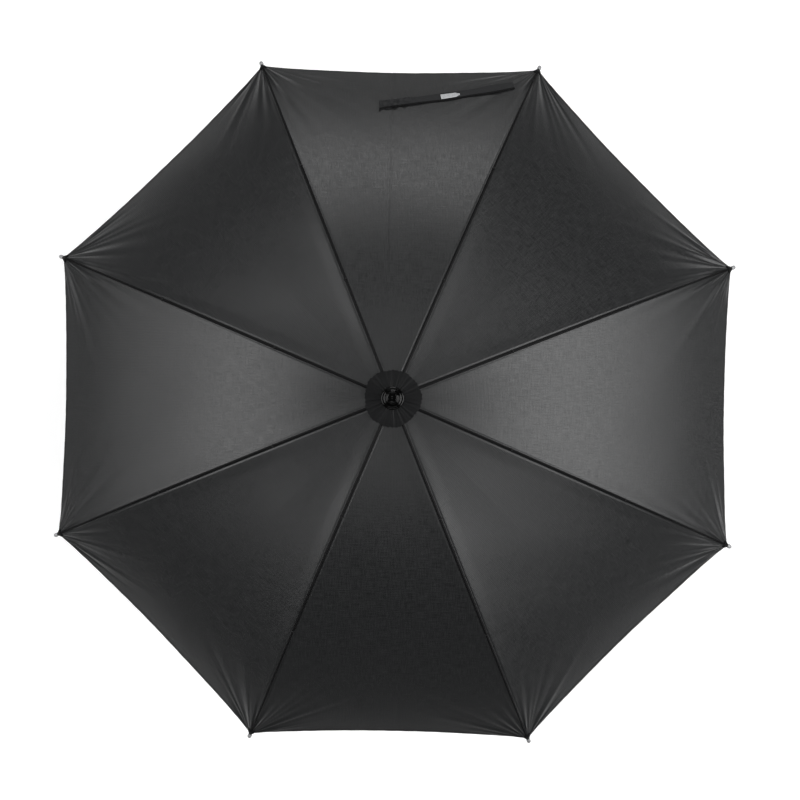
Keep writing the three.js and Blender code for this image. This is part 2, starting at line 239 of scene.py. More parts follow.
def lay_map(sheet: Piece, places: np.ndarray) -> None:
    """Write the map that cloth finishes read.

    Args:
        sheet: the object.
        places: a place in metres for each vertex.
    """
    mesh = sheet.data
    while mesh.uv_layers:
        mesh.uv_layers.remove(mesh.uv_layers[0])
    layer = mesh.uv_layers.new(name=CLOTH_MAP)
    loops = np.zeros(len(mesh.loops), dtype=np.int32)
    mesh.loops.foreach_get("vertex_index", loops)
    layer.data.foreach_set("uv", places[loops].ravel())


def corners(piece: Piece) -> np.ndarray:
    """The piece's vertices as an array of points."""
    flat = np.zeros(len(piece.data.vertices) * 3)
    piece.data.vertices.foreach_get("co", flat)
    return flat.reshape(-1, 3)


def reshape(piece: Piece, formula: Callable[[np.ndarray], np.ndarray]) -> None:
    """Move every vertex of a piece as a formula says."""
    piece.data.vertices.foreach_set("co", formula(corners(piece)).ravel())
    piece.data.update()


def outline(origin: tuple[float, float], *points: tuple[float, float]) -> list[tuple[float, float]]:
    """Part of a profile, drawn in millimetres.

    Args:
        origin: the radius and height that it is drawn from, in metres.
        points: radius and height of each point, in millimetres.

    Returns:
        The points in metres.
    """
    radius, height = origin
    return [(radius + r * MM, height + z * MM) for r, z in points]


def turned(name: str, profile: Profile, segments: int = 64, ring: bool = False) -> Piece:
    """Turn a profile about Z, ring by ring, as on a lathe.

    Args:
        name: the piece's name.
        profile: (radius, height) points, in metres.
        segments: faces round the axis.
        ring: True if the profile closes on itself and leaves a bore.

    Returns:
        The closed piece.
    """
    deselect()
    radius, height = profile[0]
    bpy.ops.mesh.primitive_circle_add(
        vertices=segments, radius=radius, fill_type="NOTHING", location=(0, 0, height)
    )
    piece = bpy.context.object
    settle(piece, name)
    edit_all(piece)
    outline = [*profile, profile[0]] if ring else list(profile)
    for (r_from, z_from), (r_to, z_to) in zip(outline, outline[1:]):
        bpy.ops.mesh.extrude_region_move(TRANSFORM_OT_translate={"value": (0, 0, z_to - z_from)})
        grow = r_to / r_from
        bpy.ops.transform.resize(value=(grow, grow, 1), center_override=(0, 0, z_to))
    if not ring:
        bpy.ops.mesh.edge_face_add()
        bpy.ops.object.mode_set(mode="OBJECT")
        mesh = piece.data
        for vertex in mesh.vertices:
            vertex.select = vertex.index < segments
        for edge in mesh.edges:
            edge.select = all(mesh.vertices[v].select for v in edge.vertices)
        for face in mesh.polygons:
            face.select = False
        bpy.ops.object.mode_set(mode="EDIT")
        bpy.ops.mesh.edge_face_add()
    bpy.ops.object.mode_set(mode="OBJECT")
    tidy_shell(piece)
    return piece


def rounded_block(name: str, low: Sequence[float], high: Sequence[float], edge: float = 0) -> Piece:
    """A block between two corners with rounded edges.

    Args:
        name: the piece's name.
        low: its lowest corner.
        high: its highest corner.
        edge: the radius of its edges; 0 leaves them sharp.

    Returns:
        The block.
    """
    deselect()
    middle = [(a + b) / 2 for a, b in zip(low, high)]
    size = [b - a for a, b in zip(low, high)]
    bpy.ops.mesh.primitive_cube_add(size=1, location=middle, scale=size)
    block = settle(bpy.context.object, name)
    if edge:
        modify(block, "BEVEL", width=edge, segments=3, limit_method="NONE")
    return block


def cross_pin(name: str, radius: float, length: float, x: float = 0, z: float = 0) -> Piece:
    """A short cylinder across a rib's plane, at (x, z) in that plane.

    Args:
        name: the piece's name.
        radius: its radius.
        length: its length across.
        x: its place along X.
        z: its height.

    Returns:
        The cylinder.
    """
    deselect()
    bpy.ops.mesh.primitive_cylinder_add(
        vertices=32, radius=radius, depth=length, location=(x, 0, z), rotation=(math.pi / 2, 0, 0)
    )
    return settle(bpy.context.object, name)


def copy_round(template: Piece, name: str, azimuth: float) -> Piece:
    """A copy of a piece with its own mesh, turned about the shaft.

    Args:
        template: the piece modelled at azimuth 0.
        name: the copy's name.
        azimuth: how far it is turned, in radians.

    Returns:
        The copy.
    """
    piece = bpy.data.objects.new(name, template.data.copy())
    piece.data.name = name
    piece.data.transform(Matrix.Rotation(azimuth, 4, "Z"))
    bpy.context.scene.collection.objects.link(piece)
    return piece


def scatter(template: Piece, name: str, places: Sequence[Matrix]) -> Piece:
    """One piece that holds a copy of a small template at each place.

    Args:
        template: the small piece, which is removed afterwards.
        name: the new piece's name.
        places: where each copy stands.

    Returns:
        The piece of all copies.
    """
    points = np.c_[corners(template), np.ones(len(template.data.vertices))]
    faces = [tuple(face.vertices) for face in template.data.polygons]
    all_points = [points @ np.array(place).T[:, :3] for place in places]
    all_faces = [
        tuple(v + n * len(points) for v in face) for n in range(len(places)) for face in faces
    ]
    mesh = bpy.data.meshes.new(name)
    mesh.from_pydata(np.concatenate(all_points).tolist(), [], all_faces)
    mesh.shade_smooth()
    piece = bpy.data.objects.new(name, mesh)
    bpy.context.scene.collection.objects.link(piece)
    return piece


def discard(*templates: Piece) -> None:
    """Remove templates that were only modelled to be copied."""
    for template in templates:
        bpy.data.objects.remove(template)


def ramp(value: np.ndarray) -> np.ndarray:
    """A soft step from 0 to 1 as the value goes from 0 to 1."""
    t = np.clip(value, 0, 1)
    return t * t * (3 - 2 * t)


def rib_azimuth(rib: int) -> float:
    """The azimuth of a rib, counted from 1, in radians."""
    return HALF_PITCH + (rib - 1) * PITCH


# ------------------------------------------------------------------------------------------------
# Finishes
# ------------------------------------------------------------------------------------------------


def linear(hex_colour: str) -> tuple[float, float, float, float]:
    """Turn an sRGB hex colour into linear light.

    Args:
        hex_colour: such as "#1c1d1f".

    Returns:
        Red, green, blue and alpha.
    """
    parts = [int(hex_colour[i : i + 2], 16) / 255 for i in (1, 3, 5)]
    red, green, blue = [c / 12.92 if c <= 0.04045 else ((c + 0.055) / 1.055) ** 2.4 for c in parts]
    return (red, green, blue, 1.0)


def add_node(
    tree: Tree,
    kind: str,
    settings: dict[str, object] | None = None,
    values: dict[str | int, object] | None = None,
    links: dict[str | int, Socket] | None = None,
) -> Node:
    """Add a shader node with its settings, socket values and incoming links.

    Args:
        tree: the material's node tree.
        kind: the node's type, without its ShaderNode prefix.
        settings: properties of the node.
        values: constants of its input sockets.
        links: sockets of other nodes that feed its inputs.

    Returns:
        The new node.
    """
    node = tree.nodes.new(f"ShaderNode{kind}")
    for key, value in (settings or {}).items():
        setattr(node, key, value)
    for key, value in (values or {}).items():
        node.inputs[key].default_value = value
    for key, socket in (links or {}).items():
        tree.links.new(socket, node.inputs[key])
    return node


def new_material(name: str) -> tuple[Material, Tree]:
    """An empty node material.

    Args:
        name: its name.

    Returns:
        The material and its tree.
    """
    material = bpy.data.materials.new(name)
    material.use_nodes = True
    material.node_tree.nodes.clear()
    return material, material.node_tree


def two_tone(tree: Tree, dark: str, light: str, share: Socket) -> Socket:
    """A colour that goes from one tone to another.

    Args:
        tree: the material's node tree.
        dark: hex colour at 0.
        light: hex colour at 1.
        share: the socket that mixes them.

    Returns:
        The socket that carries the colour.
    """
    tones = {"A": linear(dark), "B": linear(light)}
    return add_node(tree, "Mix", {"data_type": "RGBA"}, tones, {"Factor": share}).outputs["Result"]


def bands(
    tree: Tree, place: Socket, direction: str, width: float, wobble: float, detail: float
) -> Socket:
    """Threads that lie side by side.

    Args:
        tree: the material's node tree.
        place: the coordinates.
        direction: the axis across the threads.
        width: how wide a thread is drawn.
        wobble: how uneven they are.
        detail: how fine their unevenness is.

    Returns:
        The socket that carries their height, from 0 to 1.
    """
    settings = {"wave_type": "BANDS", "bands_direction": direction, "wave_profile": "SIN"}
    values = {"Scale": 1 / (width * BAND_SCALE), "Distortion": wobble, "Detail": detail}
    return add_node(tree, "TexWave", settings, values, {"Vector": place}).outputs["Fac"]


def close_material(tree: Tree, values: dict[str, object], links: dict[str, Socket]) -> None:
    """Add the principled shader and the material's output.

    Args:
        tree: the material's node tree.
        values: constants of the shader's sockets.
        links: sockets that feed it.
    """
    shader = add_node(tree, "BsdfPrincipled", None, values, links)
    add_node(tree, "OutputMaterial", links={"Surface": shader.outputs[0]})


@dataclass(frozen=True)
class PongeeCloth:
    """Calendered polyester pongee, dyed black: a fine plain weave with a soft satin gloss.

    The eye gets a charcoal black that turns lighter where it mirrors a lamp, and faint slubs that
    run along warp and weft.
    """

    name: str = "black_pongee"
    dark: str = "#0e0f10"
    light: str = "#1a1b1c"
    thread: float = 1.3 * MM  # drawn coarser than the real 0.15 mm, so that it shows
    slub: float = 22 * MM
    slub_shape: float = 14  # how many times longer than wide a slub is
    roughness: float = 0.43
    gloss_spread: float = 0.09
    sheen: float = 0.12
    mirror: float = 0.5

    def make(self) -> Material:
        """Build the material on the cloth's own map, whose unit is a metre.

        Returns:
            The material.
        """
        material, tree = new_material(self.name)
        place = add_node(tree, "UVMap", {"uv_map": CLOTH_MAP}).outputs["UV"]
        streaks = []
        along, across = 1 / self.slub, self.slub_shape / self.slub
        for stretch in ((along, across, 1), (across, along, 1)):
            grid = add_node(tree, "Mapping", None, {"Scale": stretch}, {"Vector": place})
            values = {"Scale": 1.0, "Detail": 3.0, "Roughness": 0.6}
            noise = add_node(
                tree, "TexNoise", {"noise_dimensions": "2D"}, values, {"Vector": grid.outputs[0]}
            )
            streaks.append(noise.outputs["Fac"])
        slubs = add_node(tree, "Math", {"operation": "ADD"}, None, {0: streaks[0], 1: streaks[1]})
        middle = {"From Min": 0.7, "From Max": 1.3, "To Min": 0.0, "To Max": 1.0}
        level = add_node(tree, "MapRange", None, middle, {"Value": slubs.outputs[0]}).outputs[0]
        spread = {"To Min": self.roughness - self.gloss_spread, "To Max": self.roughness + self.gloss_spread}
        rough = add_node(tree, "MapRange", None, spread, {"Value": level})
        warp, weft = (bands(tree, place, axis, self.thread, 0.6, 1.0) for axis in "XY")
        weave = add_node(tree, "Math", {"operation": "ADD"}, None, {0: warp, 1: weft})
        heights = {0: weave.outputs[0], 2: slubs.outputs[0]}
        height = add_node(tree, "Math", {"operation": "MULTIPLY_ADD"}, {1: 0.35}, heights)
        depth = {"Strength": 0.35, "Distance": 0.25 * MM}
        bump = add_node(tree, "Bump", None, depth, {"Height": height.outputs[0]})
        close_material(
            tree,
            {
                "IOR": 1.5,
                "Specular IOR Level": self.mirror,
                "Sheen Weight": self.sheen,
                "Sheen Roughness": 0.45,
            },
            {
                "Base Color": two_tone(tree, self.dark, self.light, level),
                "Roughness": rough.outputs[0],
                "Normal": bump.outputs[0],
            },
        )
        return material


class Grain(Enum):
    """How a hard surface is textured."""

    MOULDED = "moulded"
    POLISHED = "polished"
    FOAMED = "foamed"
    DRAWN = "drawn"
    TWISTED = "twisted"


@dataclass(frozen=True)
class HardFinish:
    """A plastic, foam, thread or metal surface with its grain and its handling marks.

    The grain sets the pattern: spark texture on moulded nylon, faint hairlines on polished plastic,
    closed cells on foam, fine lines on drawn or plated metal, and plies on thread.
    """

    name: str
    dark: str
    light: str
    grain: Grain
    grain_size: float
    roughness: float
    relief: float
    metallic: float = 0.0
    ior: float = 1.5
    coat: float = 0.0
    marks: float = 0.06
    mark_size: float = 18 * MM

    def make(self) -> Material:
        """Build the material on Object coordinates, whose unit is a metre.

        Returns:
            The material.
        """
        material, tree = new_material(self.name)
        place = add_node(tree, "TexCoord").outputs["Object"]
        pattern = self.pattern(tree, place)
        soft = {"Scale": 1 / self.mark_size, "Detail": 5.0, "Roughness": 0.65}
        wear = add_node(tree, "TexNoise", None, soft, {"Vector": place}).outputs["Fac"]
        share = add_node(tree, "Math", {"operation": "MULTIPLY"}, None, {0: wear, 1: pattern})
        spread = {
            "From Min": 0.3,
            "From Max": 0.7,
            "To Min": max(0.02, self.roughness - self.marks),
            "To Max": self.roughness + self.marks,
        }
        rough = add_node(tree, "MapRange", None, spread, {"Value": wear})
        depth = {"Strength": 0.6, "Distance": self.relief}
        bump = add_node(tree, "Bump", None, depth, {"Height": pattern})
        close_material(
            tree,
            {"IOR": self.ior, "Metallic": self.metallic, "Coat Weight": self.coat, "Coat Roughness": 0.08},
            {
                "Base Color": two_tone(tree, self.dark, self.light, share.outputs[0]),
                "Roughness": rough.outputs[0],
                "Normal": bump.outputs[0],
            },
        )
        return material

    def pattern(self, tree: Tree, place: Socket) -> Socket:
        """The grain's height, from 0 to 1.

        Args:
            tree: the material's node tree.
            place: the coordinates that the grain follows.

        Returns:
            The socket that carries the height.
        """
        fine = 1 / self.grain_size
        if self.grain is Grain.FOAMED:
            cells = add_node(tree, "TexVoronoi", None, {"Scale": fine}, {"Vector": place})
            return cells.outputs["Distance"]
        stretch = {
            Grain.MOULDED: (1, 1, 1),
            Grain.POLISHED: (1, 1, 0.2),
            Grain.DRAWN: (1, 1, 0.04),
            Grain.TWISTED: (0.5, 0.5, 1),
        }[self.grain]
        grid = add_node(tree, "Mapping", None, {"Scale": stretch}, {"Vector": place})
        noise = add_node(
            tree, "TexNoise", None, {"Scale": fine, "Detail": 2.0}, {"Vector": grid.outputs[0]}
        )
        return noise.outputs["Fac"]


@dataclass(frozen=True)
class WovenTape:
    """A narrow woven tape or label: ribs of thread across it, in one dye.

    The eye gets fine cords side by side, matt; their tops are painted lighter as a painted highlight and the
    gaps between them darker as painted shade.
    """

    name: str
    dark: str
    light: str
    cord: float
    roughness: float = 0.7

    def make(self) -> Material:
        """Build the material on the cloth's own map, whose unit is a metre.

        Returns:
            The material.
        """
        material, tree = new_material(self.name)
        place = add_node(tree, "UVMap", {"uv_map": CLOTH_MAP}).outputs["UV"]
        cords = bands(tree, place, "X", self.cord, 0.8, 2.0)
        fine = {"Scale": 1 / (4 * MM), "Detail": 4.0}
        fuzz = add_node(tree, "TexNoise", None, fine, {"Vector": place}).outputs["Fac"]
        # Colour follows the cords' height: painted highlight on their tops, painted shade between them.
        level = add_node(tree, "Math", {"operation": "MULTIPLY"}, None, {0: cords, 1: fuzz})
        depth = {"Strength": 0.5, "Distance": 0.15 * MM}
        bump = add_node(tree, "Bump", None, depth, {"Height": cords})
        colour = two_tone(tree, self.dark, self.light, level.outputs[0])
        close_material(
            tree,
            {"IOR": 1.4, "Roughness": self.roughness, "Sheen Weight": 0.05, "Sheen Roughness": 0.4},
            {"Base Color": colour, "Normal": bump.outputs[0]},
        )
        return material


def made(finish: PongeeCloth | HardFinish | WovenTape) -> Material:
    """A field of the wardrobe, whose material is made from a finish."""
    return field(default_factory=finish.make)


@dataclass
class Wardrobe:
    """Every finish of the umbrella, made once."""

    cloth: Material = made(PongeeCloth())
    rosette: Material = made(
        PongeeCloth("cut_pongee", "#060607", "#0e0f10", roughness=0.6, sheen=0.02, mirror=0.16)
    )
    # Dark cloth that paints shade along the seams, the hems and the strap's lower edge, and is also the
    # corner pockets' own cloth.
    pocket_cloth_and_painted_shade: Material = made(
        PongeeCloth("doubled_pongee", "#040405", "#0b0b0c", roughness=0.65, sheen=0.0, mirror=0.14)
    )
    tape: Material = made(WovenTape("strap_tape", "#0f1011", "#27282b", 1.2 * MM))
    label: Material = made(WovenTape("pale_label", "#9fa1a3", "#e6e7e8", 0.9 * MM, 0.5))
    thread: Material = made(
        HardFinish("spun_thread", "#050506", "#131314", Grain.TWISTED, 0.6 * MM, 0.75, 0.05 * MM)
    )
    rod: Material = made(
        HardFinish("coated_glass_fibre", "#121315", "#2a2b2e", Grain.DRAWN, 1.5 * MM, 0.38, 0.02 * MM)
    )
    enamel: Material = made(
        HardFinish(
            "enamelled_steel", "#0f1012", "#222326", Grain.POLISHED, 2.5 * MM, 0.22, 0.01 * MM, coat=0.5
        )
    )
    nickel: Material = made(
        HardFinish("satin_nickel", "#858688", "#cbcbca", Grain.DRAWN, 1.2 * MM, 0.3, 0.01 * MM, metallic=0.2)
    )
    spring: Material = made(
        HardFinish("spring_steel", "#7f8183", "#b4b6b8", Grain.DRAWN, 0.8 * MM, 0.32, 0.02 * MM, metallic=1.0)
    )
    nylon: Material = made(
        HardFinish("moulded_nylon", "#101113", "#242528", Grain.MOULDED, 0.5 * MM, 0.5, 0.03 * MM)
    )
    polished: Material = made(
        HardFinish(
            "polished_abs", "#030303", "#090909", Grain.POLISHED, 3 * MM, 0.1, 0.01 * MM, ior=1.36, marks=0.04
        )
    )
    foam: Material = made(
        HardFinish("closed_cell_foam", "#0d0e0f", "#2a2b2d", Grain.FOAMED, 0.7 * MM, 0.8, 0.12 * MM)
    )


def dress(piece: Piece, material: Material) -> Piece:
    """Give a piece one material all over.

    Args:
        piece: the object.
        material: what it is made of.

    Returns:
        The same object.
    """
    piece.data.materials.clear()
    piece.data.materials.append(material)
    return piece


def fit(piece: Piece, material: Material, body: str, node: str | None = None) -> None:
    """Dress a stiff piece, set it on its body and report it.

    Args:
        piece: the object.
        material: what it is made of.
        body: the body that carries it.
        node: the CAD node that it stands for, if any.
    """
    dress(piece, material)
    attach(piece, body)
    if node:
        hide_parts(node)
    LOG.info("%s", piece.name)


# ------------------------------------------------------------------------------------------------
# The shape that cloth and ribs share
# ------------------------------------------------------------------------------------------------


@dataclass(frozen=True)
class RibLine:
    """The curve of an open rib, in its own plane: x outwards, z up."""

    pivot_radius: float
    crown_z: float
    arc_radius: float = 920 * MM
    start_slope: float = math.radians(5)

    @classmethod
    def from_frame(cls, frame: dict) -> "RibLine":
        """Take the pivot's place from the fold joint.


        Returns:
            The line that starts there.
        """
        joint = next(j for j in frame["joints"] if j["name"] == "canopy_fold")
        x, y, z = joint["pos_m"]
        return cls(math.hypot(x, y), z)

    def slope(self, s: np.ndarray | float) -> np.ndarray | float:
        """How steeply the rib falls at a distance s along it, in radians."""
        return self.start_slope + s / self.arc_radius

    def point(self, s: np.ndarray | float, offset: np.ndarray | float = 0.0) -> tuple:
        """A place beside the rib.

        Args:
            s: distance along the rib from its pivot.
            offset: distance above the rib's middle, square to it.

        Returns:
            x and z.
        """
        slope = self.slope(s)
        x = self.pivot_radius + self.arc_radius * (np.sin(slope) - math.sin(self.start_slope))
        z = self.crown_z - self.arc_radius * (math.cos(self.start_slope) - np.cos(slope))
        return x + offset * np.sin(slope), z + offset * np.cos(slope)

    def bend(self, points: np.ndarray) -> np.ndarray:
        """Lay a straight bar that stands along Z from the pivot onto the rib's curve."""
        x, z = self.point(points[:, 2], points[:, 1])
        return np.c_[x, points[:, 0], z]

    def matrix(self, s: float, offset: float = 0.0) -> Matrix:
        """A place on the rib with X along it outwards, Y sideways and Z square to it."""
        x, z = self.point(s, offset)
        lean = Matrix.Rotation(float(self.slope(s)), 4, "Y")
        return Matrix.Translation((float(x), 0, float(z))) @ lean


@dataclass(frozen=True)
class Streak:
    """One pull fold that fans out from a panel's corner."""

    angle: float  # from the rib towards the hem, in radians
    width: float  # in radians
    reach: float
    height: float


@dataclass(frozen=True)
class HalfPanel:
    """One half of a canopy panel, between a rib and the panel's middle line."""

    panel: int
    side: Side
    line: RibLine
    streaks: tuple[Streak, ...] = ()

    START = 3 * MM
    END = 726 * MM
    OFFSET = 3.4 * MM
    SAG = 0.012
    HEM_DIP = 4 * MM
    RIDGE = 0.6 * MM
    SHOULDER = -0.7 * MM
    GROOVE = 3.1 * MM  # how far the groove beside a seam is from the rib
    SHALLOW = 0.45  # the groove on the far side of a seam, against the near one
    HEM_WIDTH = 8 * MM

    @property
    def rib(self) -> int:
        """The rib that this half is sewn along."""
        return self.panel if self.side is Side.CW else self.panel % RIB_COUNT + 1

    @property
    def body(self) -> str:
        """The body that gathers this half as the ribs fold."""
        return f"panel_{self.panel}_{self.side.name.lower()}"

    def spot(self, s: np.ndarray, v: np.ndarray, rise: np.ndarray | float = 0.0) -> np.ndarray:
        """Places on the smooth cloth, beside a rib at azimuth 0.

        Args:
            s: distance along the rib.
            v: 0 at the rib and 1 at the panel's middle line.
            rise: distance above the cloth, square to it.

        Returns:
            The points, with Y growing from the rib.
        """
        dip = 1 - (1 - v) ** 2
        along = s * (1 - self.HEM_DIP / self.END * dip)
        slope = self.line.slope(along)
        radius, z = self.line.point(along, self.OFFSET)
        sag = self.SAG * radius * dip
        lean, turn = np.sin(slope), HALF_PITCH * v
        x = radius * (1 + v * (math.cos(HALF_PITCH) ** 2 - 1))
        y = radius * v * math.cos(HALF_PITCH) * math.sin(HALF_PITCH)
        x = x + lean * (rise * np.cos(turn) - sag * math.cos(HALF_PITCH))
        y = y + lean * (rise * np.sin(turn) - sag * math.sin(HALF_PITCH))
        return np.stack([x, y, z + (rise - sag) * np.cos(slope)], -1)

    def relief(self, s: np.ndarray, v: np.ndarray) -> np.ndarray:
        """How far the cloth stands off its smooth shape: seam, hem, folds and creases.

        Args:
            s: distance along the rib.
            v: 0 at the rib and 1 at the panel's middle line.

        Returns:
            The distance at each place, upwards positive.
        """
        beside = self.spot(s, v)[..., 1]
        to_hem = self.END - s
        ridge = self.RIDGE * (1 - ramp((beside - 0.3 * MM) / (1.3 * MM)))
        depth = (1.0 if self.side is Side.CW else self.SHALLOW) * (1.25 - 0.5 * s / self.END)
        groove = -depth * MM * np.exp(-(((beside - self.GROOVE) / (1.5 * MM)) ** 2))
        rise = 1 - ramp((beside - 30 * MM) / (90 * MM))
        shoulder = self.SHOULDER * ramp((beside - 2 * MM) / (26 * MM)) * rise
        fold = 0.16 * MM * (1 - ramp((to_hem - self.HEM_WIDTH) / MM))
        rolled = 1.5 * MM * (1 - ramp(to_hem / (3 * MM)))
        wave = np.sin(2 * math.pi * beside / (31 * MM) + self.panel)
        pucker = 0.14 * MM * wave * np.exp(-to_hem / (16 * MM)) * ramp(beside / (20 * MM))
        sewn = ridge + groove + shoulder + fold - rolled + pucker
        return sewn + self.folds(to_hem, beside) + self.drift(s, v)

    def folds(self, to_hem: np.ndarray, beside: np.ndarray) -> np.ndarray:
        """The fan of pull folds at the panel's corner.

        Args:
            to_hem: distance from the hem.
            beside: distance from the rib.

        Returns:
            How far they lift the cloth.
        """
        away = np.hypot(to_hem, beside)
        angle = np.arctan2(beside, np.maximum(to_hem, 1e-6))
        total = np.zeros_like(away)
        for streak in self.streaks:
            across = (angle - streak.angle) / streak.width
            fade = np.exp(-((away / streak.reach) ** 2)) * np.minimum(1, away / (34 * MM))
            total += streak.height * fade * np.exp(-0.5 * across**2)
        return total

    def drift(self, s: np.ndarray, v: np.ndarray) -> np.ndarray:
        """Slow waves of the whole panel and its packing creases, the same on both of its halves.

        Args:
            s: distance along the rib.
            v: 0 at the rib and 1 at the panel's middle line.

        Returns:
            How far they lift the cloth.
        """
        flat = self.spot(s, v)
        from_middle = flat[..., 0] * math.sin(HALF_PITCH) - flat[..., 1] * math.cos(HALF_PITCH)
        across = -self.side.value * from_middle
        phase = 1.7 * self.panel
        slow = np.sin(s / (61 * MM) + phase) * np.cos(across / (47 * MM) + 0.6 * phase)
        slow += 0.6 * np.sin(s / (33 * MM) - across / (29 * MM) + 2.3 * phase)
        total = 0.28 * MM * slow * ramp(v * 3)
        for place, depth, inner in PACKING_CREASES.get(self.panel, ()):
            gap = np.abs(across - place)
            fold = 0.3 * MM * np.exp(-((gap / (9 * MM)) ** 2)) - 0.85 * MM * np.exp(-gap / (2.5 * MM))
            total += depth * fold * ramp((s - inner) / (120 * MM))
        return total

    def local(self, points: np.ndarray) -> np.ndarray:
        """Turn points beside a rib at azimuth 0 to this half's own rib.

        Args:
            points: the points, with Y growing from the rib.

        Returns:
            The points in the umbrella's frame, mirrored for the far side.
        """
        x, y, z = points[..., 0], points[..., 1] * self.side.value, points[..., 2]
        c, s = math.cos(rib_azimuth(self.rib)), math.sin(rib_azimuth(self.rib))
        return np.stack([c * x - s * y, s * x + c * y, z], -1)

    def surface(self, s: np.ndarray, v: np.ndarray, rise: np.ndarray | float = 0.0) -> np.ndarray:
        """Places on the finished cloth, or above it, in the umbrella's frame."""
        return self.local(self.spot(s, v, self.relief(s, v) + rise))

    def follow(self, piece: Piece) -> None:
        """Put a piece's place into its mesh, as it lies beside this half."""
        near, far = (self.local(np.array([0.4, y, 0.7])) for y in GATHER_SPAN)
        f"rib_{self.rib}"
        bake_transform(piece)


# Distances from the rib's plane between which the cloth goes from following the rib to gathering.
GATHER_SPAN = (-3.2 * MM, 194.9 * MM)

# Creases left by packing: place across the panel, depth, and where it fades out towards the crown.
PACKING_CREASES: dict[int, tuple[tuple[float, float, float], ...]] = {
    2: ((14 * MM, 0.9, 150 * MM), (-103 * MM, 0.5, 380 * MM)),
    6: ((14 * MM, 0.35, 260 * MM),),
    1: ((60 * MM, 0.25, 300 * MM),),
}


def pull_folds(panel: int, side: Side) -> tuple[Streak, ...]:
    """The pull folds of one corner, strongest at the tips where the cloth is stretched hardest.

    Args:
        panel: the panel's number.
        side: the half of the panel.

    Returns:
        The folds.
    """
    rib = HalfPanel(panel, side, RibLine(0, 0)).rib
    pull = CORNER_PULL[rib]
    dice = random.Random(97 * panel + side.value)
    streaks = [
        Streak(0.075, 0.03, 170 * MM * pull, -2.6 * MM * pull),
        Streak(0.16, 0.035, 130 * MM * pull, 1.6 * MM * pull),
    ]
    angle = 0.25
    while angle < 1.4:
        width = dice.uniform(0.022, 0.05)
        reach = dice.uniform(60, 165) * MM * (1 - 0.3 * angle)
        height = pull * dice.uniform(1.6, 3.4) * MM * dice.choice((1, -1, -1))
        streaks.append(Streak(angle, width, reach, height))
        angle += width * dice.uniform(2.6, 5.0)
    return tuple(streaks)


# How hard the cloth is pulled at each tip, by rib.
CORNER_PULL = {1: 1.0, 2: 0.65, 3: 0.75, 4: 1.0, 5: 0.6, 6: 0.55, 7: 0.6, 8: 0.85}


# ------------------------------------------------------------------------------------------------
# Sub-assemblies
# ------------------------------------------------------------------------------------------------


